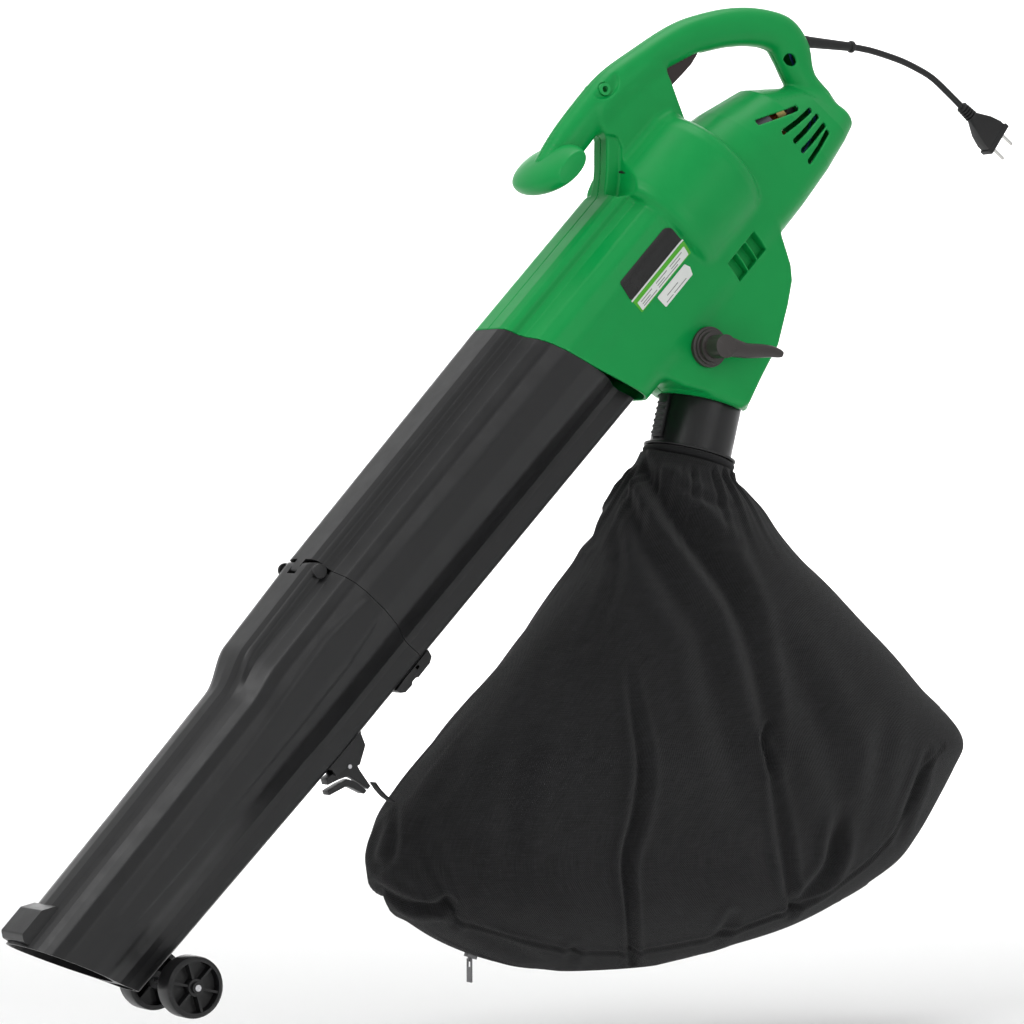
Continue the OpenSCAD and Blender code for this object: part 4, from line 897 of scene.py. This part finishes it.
def grid_normals(G):
    du = np.roll(G, -1, 1) - np.roll(G, 1, 1)
    dv = np.gradient(G, axis=0)
    n = np.cross(du, dv)
    n /= np.maximum(np.linalg.norm(n, axis=2), 1e-9)[..., None]
    return n


def crease(Xs, Z, pts, sharp=1.0, side=0.0):
    """fold along a line; each point is [u, v, depth mm, width mm]"""
    pts = catmull(np.array(pts, float), 5)
    X, Zp = px(pts[:, 0], pts[:, 1])
    best = np.full(Xs.shape, 1e9)
    amp = np.zeros(Xs.shape)
    wid = np.ones(Xs.shape)
    sgn = np.zeros(Xs.shape)
    for i in range(len(X) - 1):
        e0, e1 = X[i + 1] - X[i], Zp[i + 1] - Zp[i]
        L = max(e0 * e0 + e1 * e1, 1e-9)
        t = np.clip(((Xs - X[i]) * e0 + (Z - Zp[i]) * e1) / L, 0, 1)
        r0, r1 = Xs - X[i] - t * e0, Z - Zp[i] - t * e1
        d = np.hypot(r0, r1)
        m = d < best
        best[m] = d[m]
        amp[m] = (pts[i, 2] + t * (pts[i + 1, 2] - pts[i, 2]))[m]
        wid[m] = (pts[i, 3] + t * (pts[i + 1, 3] - pts[i, 3]))[m]
        sgn[m] = np.sign(e0 * r1 - e1 * r0)[m]
    s = best / wid
    valley = np.exp(-np.abs(s) ** (1.3 if sharp > 1 else 2.0))
    ridge = 0.42 * np.exp(-((s - 1.9) / 0.9) ** 2) * (1 + side * sgn)
    return amp * (-valley + ridge)


FOLDS = [
    [(690, 60, 7, 9), (760, 160, 11, 13), (840, 265, 11, 14), (895, 345, 9, 13), (935, 440, 6, 13), (965, 560, 4, 12), (985, 680, 3, 9), (990, 740, 2, 8)],
    [(640, 75, 2, 6), (690, 220, 5, 11), (755, 330, 5, 14), (820, 430, 4, 15), (850, 560, 4, 16), (890, 700, 3, 18), (920, 820, 1, 18)],
    [(655, 520, 0.5, 5), (668, 620, 3.5, 6), (684, 740, 5.5, 7), (672, 850, 5.5, 7), (648, 950, 5.5, 6), (655, 1060, 5.5, 5), (668, 1220, 4, 5)],
    [(630, 150, 1, 6), (632, 290, 2.5, 7), (600, 400, 2, 8), (565, 460, 1, 8)],
    [(990, 650, 2, 4), (972, 690, 4, 4), (985, 730, 4, 4), (1000, 820, 3, 6), (1015, 920, 3.5, 7), (1030, 1020, 4, 6), (1042, 1085, 3, 5)],
    [(1160, 870, 1, 8), (1150, 930, 6, 9), (1130, 1000, 6, 8), (1060, 1065, 3, 6), (1035, 1095, 2, 5)],
    [(900, 150, 1, 4), (845, 140, 2.5, 5), (800, 120, 3, 5), (760, 90, 2, 5)],
    [(810, 175, 2.5, 5), (850, 215, 3, 6), (900, 240, 1.5, 6)],
    [(1000, 440, 1, 12), (1060, 540, 3, 16), (1110, 660, 3.5, 18), (1160, 800, 3, 18), (1190, 900, 1, 16)],
    [(1270, 640, 0.5, 12), (1250, 760, 2.2, 12), (1230, 900, 1, 12)],
    [(480, 480, 0.5, 10), (430, 620, 2, 14), (400, 780, 2.5, 15), (385, 900, 2, 14), (400, 1000, 0.5, 12)],
    [(330, 600, 0.5, 10), (270, 720, 1.5, 12), (200, 850, 1.5, 10)],
    [(170, 880, 1, 8), (200, 940, 4, 9), (235, 1010, 4, 8), (250, 1045, 3, 6)],
    [(70, 985, 1, 4), (130, 1022, 4, 5), (180, 1043, 6, 5), (230, 1042, 6, 5), (256, 1036, 5, 5), (266, 1080, 2, 5)],
    [(130, 830, 2, 5), (128, 900, 3, 6), (110, 940, 3, 6), (55, 968, 2, 5)],
    [(300, 1100, 1, 7), (390, 1150, 2.5, 7), (470, 1190, 1, 7)],
    [(1380, 740, 2, 5), (1360, 800, 4, 6), (1330, 870, 3, 6), (1310, 940, 1, 6)],
    [(900, 1100, 2, 6), (885, 1130, 3, 6), (860, 1160, 1, 6)],
    [(530, 1160, 2.5, 6), (520, 1185, 1.5, 6)],
]
SEAM = [(52, 972, 1.7, 2.0), (130, 1030, 1.7, 2.0), (180, 1050, 1.7, 2.0), (255, 1048, 1.7, 2.0), (275, 1080, 1.7, 2.0), (400, 1122, 1.7, 2.0), (530, 1155, 1.7, 2.0), (660, 1166, 1.7, 2.0), (780, 1160, 1.7, 2.0), (880, 1143, 1.7, 2.0), (1040, 1086, 1.7, 2.0), (1150, 1042, 1.7, 2.0), (1250, 975, 1.7, 2.0), (1330, 870, 1.7, 2.0), (1380, 770, 1.7, 2.0), (1424, 722, 1.7, 2.0)]
K = 0.53 / 0.848
Nb = grid_normals(B3)
if Nb[NV // 2, NU * 3 // 4, 1] > 0:
    Nb = -Nb
near = np.clip((0.10 - B3[..., 1] / np.maximum(np.abs(B3[..., 1]).max(1)[:, None], 1)) / 0.25, 0, 1)
near = near * near * (3 - 2 * near)
disp = np.zeros(B3.shape[:2])
Xn, Xf, Z = B3[..., 0] - K * B3[..., 1], B3[..., 0] + K * B3[..., 1], B3[..., 2]
for k, fo in enumerate(FOLDS):
    disp += near * crease(Xn, Z, fo)
    sh = [(1500 - 0.97 * u - 30 * math.sin(k * 2.1), v, d * 0.8, w) for u, v, d, w in fo] if k in (0, 1, 3, 7) else [(u + 40 * math.sin(k * 1.7), v, d * 0.8, w) for u, v, d, w in fo]
    disp += (1 - near) * crease(Xf, Z, sh)
disp += near * crease(Xn, Z, SEAM) * 0.9 + (1 - near) * crease(Xf, Z, SEAM) * 0.9
# gathers round the neck
top = np.clip((Z + 470) / 100, 0, 1)
ph = np.arange(NU)[None, :] / NU * 2 * np.pi
disp += top ** 1.5 * (1.3 * np.sin(26 * ph + 2 * np.sin(3 * ph)) + 0.9 * np.sin(17 * ph + 1.3) + 0.6 * np.sin(41 * ph)) * np.clip((-366 - Z) / 8, 0, 1)
# long soft undulations
disp += 1.6 * np.sin(B3[..., 0] / 37 + 1.1 * np.sin(Z / 61)) * np.sin(Z / 53 + 0.7) * np.clip((-460 - Z) / 80, 0, 1) * (np.abs(Nb[..., 1]) > 0.2)
fade = np.clip((NV - 1 - np.arange(NV)) / 6, 0, 1)[:, None]
G = B3 + Nb * (1.35 * disp * fade)[..., None]
V = np.concatenate([G.reshape(-1, 3), [[12, 0, -855.5]]]) / 1000
F = [[j * NU + i, j * NU + (i + 1) % NU, (j + 1) * NU + (i + 1) % NU, (j + 1) * NU + i] for j in range(NV - 1) for i in range(NU)]
F += [[(NV - 1) * NU + i, (NV - 1) * NU + (i + 1) % NU, NV * NU] for i in range(NU)]
flat_uv = np.concatenate([UVb.reshape(-1, 2), [[0, cum[-1] + 20]]]) / 1000
bag = make("bag_look", V, F, MAT["bag_fabric"], "bag_assembly", ["bag"], angle=0, uv=lambda me, idx: flat_uv[idx])

# ---------------------------------------------------------------- hard pieces kept from the CAD with rounded edges
for n, w in (("selector_lever", 0.0012), ("selector_bezel", 0.0008), ("wheel_left", 0.0006), ("wheel_right", 0.0006), ("axle_caps", 0.0005), ("tube_latch", 0.0006), ("tube_hinge_pin", 0.0010),
             ("bag_bracket", 0.0004), ("bag_clip", 0.0005), ("bag_clip_jaw", 0.0005), ("adapter_latch", 0.0004), ("bag_adapter", 0.0003), ("cord_relief", 0.0004), ("plug_body", 0.0008), ("plug_pins", 0.0002),
             ("trigger", 0.0010), ("zip_slider", 0.0003), ("zip_pull", 0.0003)):
    refine(n, w)
refine("bag_collar", 0.0006)
refine("bag_strap", 0.0002)

# ---------------------------------------------------------------- mains lead
LEAD = [(250, 61.8), (264, 61.36), (280, 60.86), (294, 60.42), (308, 59.98), (330, 57.8), (352, 53.6), (372, 48.8), (392, 42), (410, 34), (428, 21.5), (447, 7.2)]
cl = catmull(LEAD, 3)
cu = bpy.data.curves.new("cord_look", "CURVE")
cu.dimensions = "3D"
cu.bevel_depth = 0.0034
cu.bevel_resolution = 5
sp = cu.splines.new("POLY")
sp.points.add(len(cl) - 1)
for p, (x, z) in zip(sp.points, cl):
    p.co = (x / 1000, 0, z / 1000, 1)
lead = bpy.data.objects.new("cord_look", cu)
bpy.context.scene.collection.objects.link(lead)
cu.materials.append(MAT["cable_jacket"])
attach(lead, "housing")
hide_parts("cord")

# ---------------------------------------------------------------- stage and light
FLOOR = -0.93
bm = bmesh.new()
prof = [(-9, FLOOR), (6.2, FLOOR)] + [(6.2 + 1.6 * math.sin(t), FLOOR + 1.6 * (1 - math.cos(t))) for t in np.linspace(0.1, math.pi / 2, 16)] + [(7.8, 7)]
fwd, sidev = Vector((0.52992, 0.84805, 0)), Vector((0.84805, -0.52992, 0))
vs = [[bm.verts.new(fwd * d + sidev * s + Vector((0, 0, z))) for d, z in prof] for s in (-12, 12)]
for i in range(len(prof) - 1):
    bm.faces.new([vs[0][i], vs[1][i], vs[1][i + 1], vs[0][i + 1]])
me = bpy.data.meshes.new("floor")
bmesh.ops.recalc_face_normals(bm, faces=bm.faces)
bm.to_mesh(me)
bm.free()
me.polygons.foreach_set("use_smooth", [True] * len(me.polygons))
floor = bpy.data.objects.new("floor", me)
bpy.context.scene.collection.objects.link(floor)
m, nt, b = tree("studio_floor")
b.inputs["Base Color"].default_value = (0.94, 0.94, 0.94, 1)
b.inputs["Roughness"].default_value = 0.9
me.materials.append(m)


def area(name, loc, target, size, power, col=(1, 1, 1)):
    l = bpy.data.lights.new(name, "AREA")
    l.energy, l.size, l.color = power, size, col
    o = bpy.data.objects.new(name, l)
    bpy.context.scene.collection.objects.link(o)
    o.location = loc
    o.visible_camera = False
    o.rotation_euler = (Vector(target) - Vector(loc)).to_track_quat("-Z", "Y").to_euler()
    return o


mid = Vector((0, 0, -0.4))
area("key", mid - fwd * 2.2 + sidev * -1.9 + Vector((0, 0, 2.3)), mid, 1.5, 34)
area("fill", mid - fwd * 2.6 + sidev * 2.3 + Vector((0, 0, 0.8)), mid, 1.6, 10)
area("backdrop", mid + fwd * 4.6 + Vector((0, 0, 3.4)), mid + fwd * 7.6 + Vector((0, 0, 0.2)), 4.0, 330)
area("top", mid + Vector((0, 0, 2.8)) + fwd * 0.3, mid, 1.8, 24)
world = bpy.data.worlds.new("world")
bpy.context.scene.world = world
world.use_nodes = True
bg = world.node_tree.nodes["Background"]
bg.inputs[0].default_value = (1, 1, 1, 1)
bg.inputs[1].default_value = 0.62
bpy.context.scene.view_settings.view_transform = "Standard"
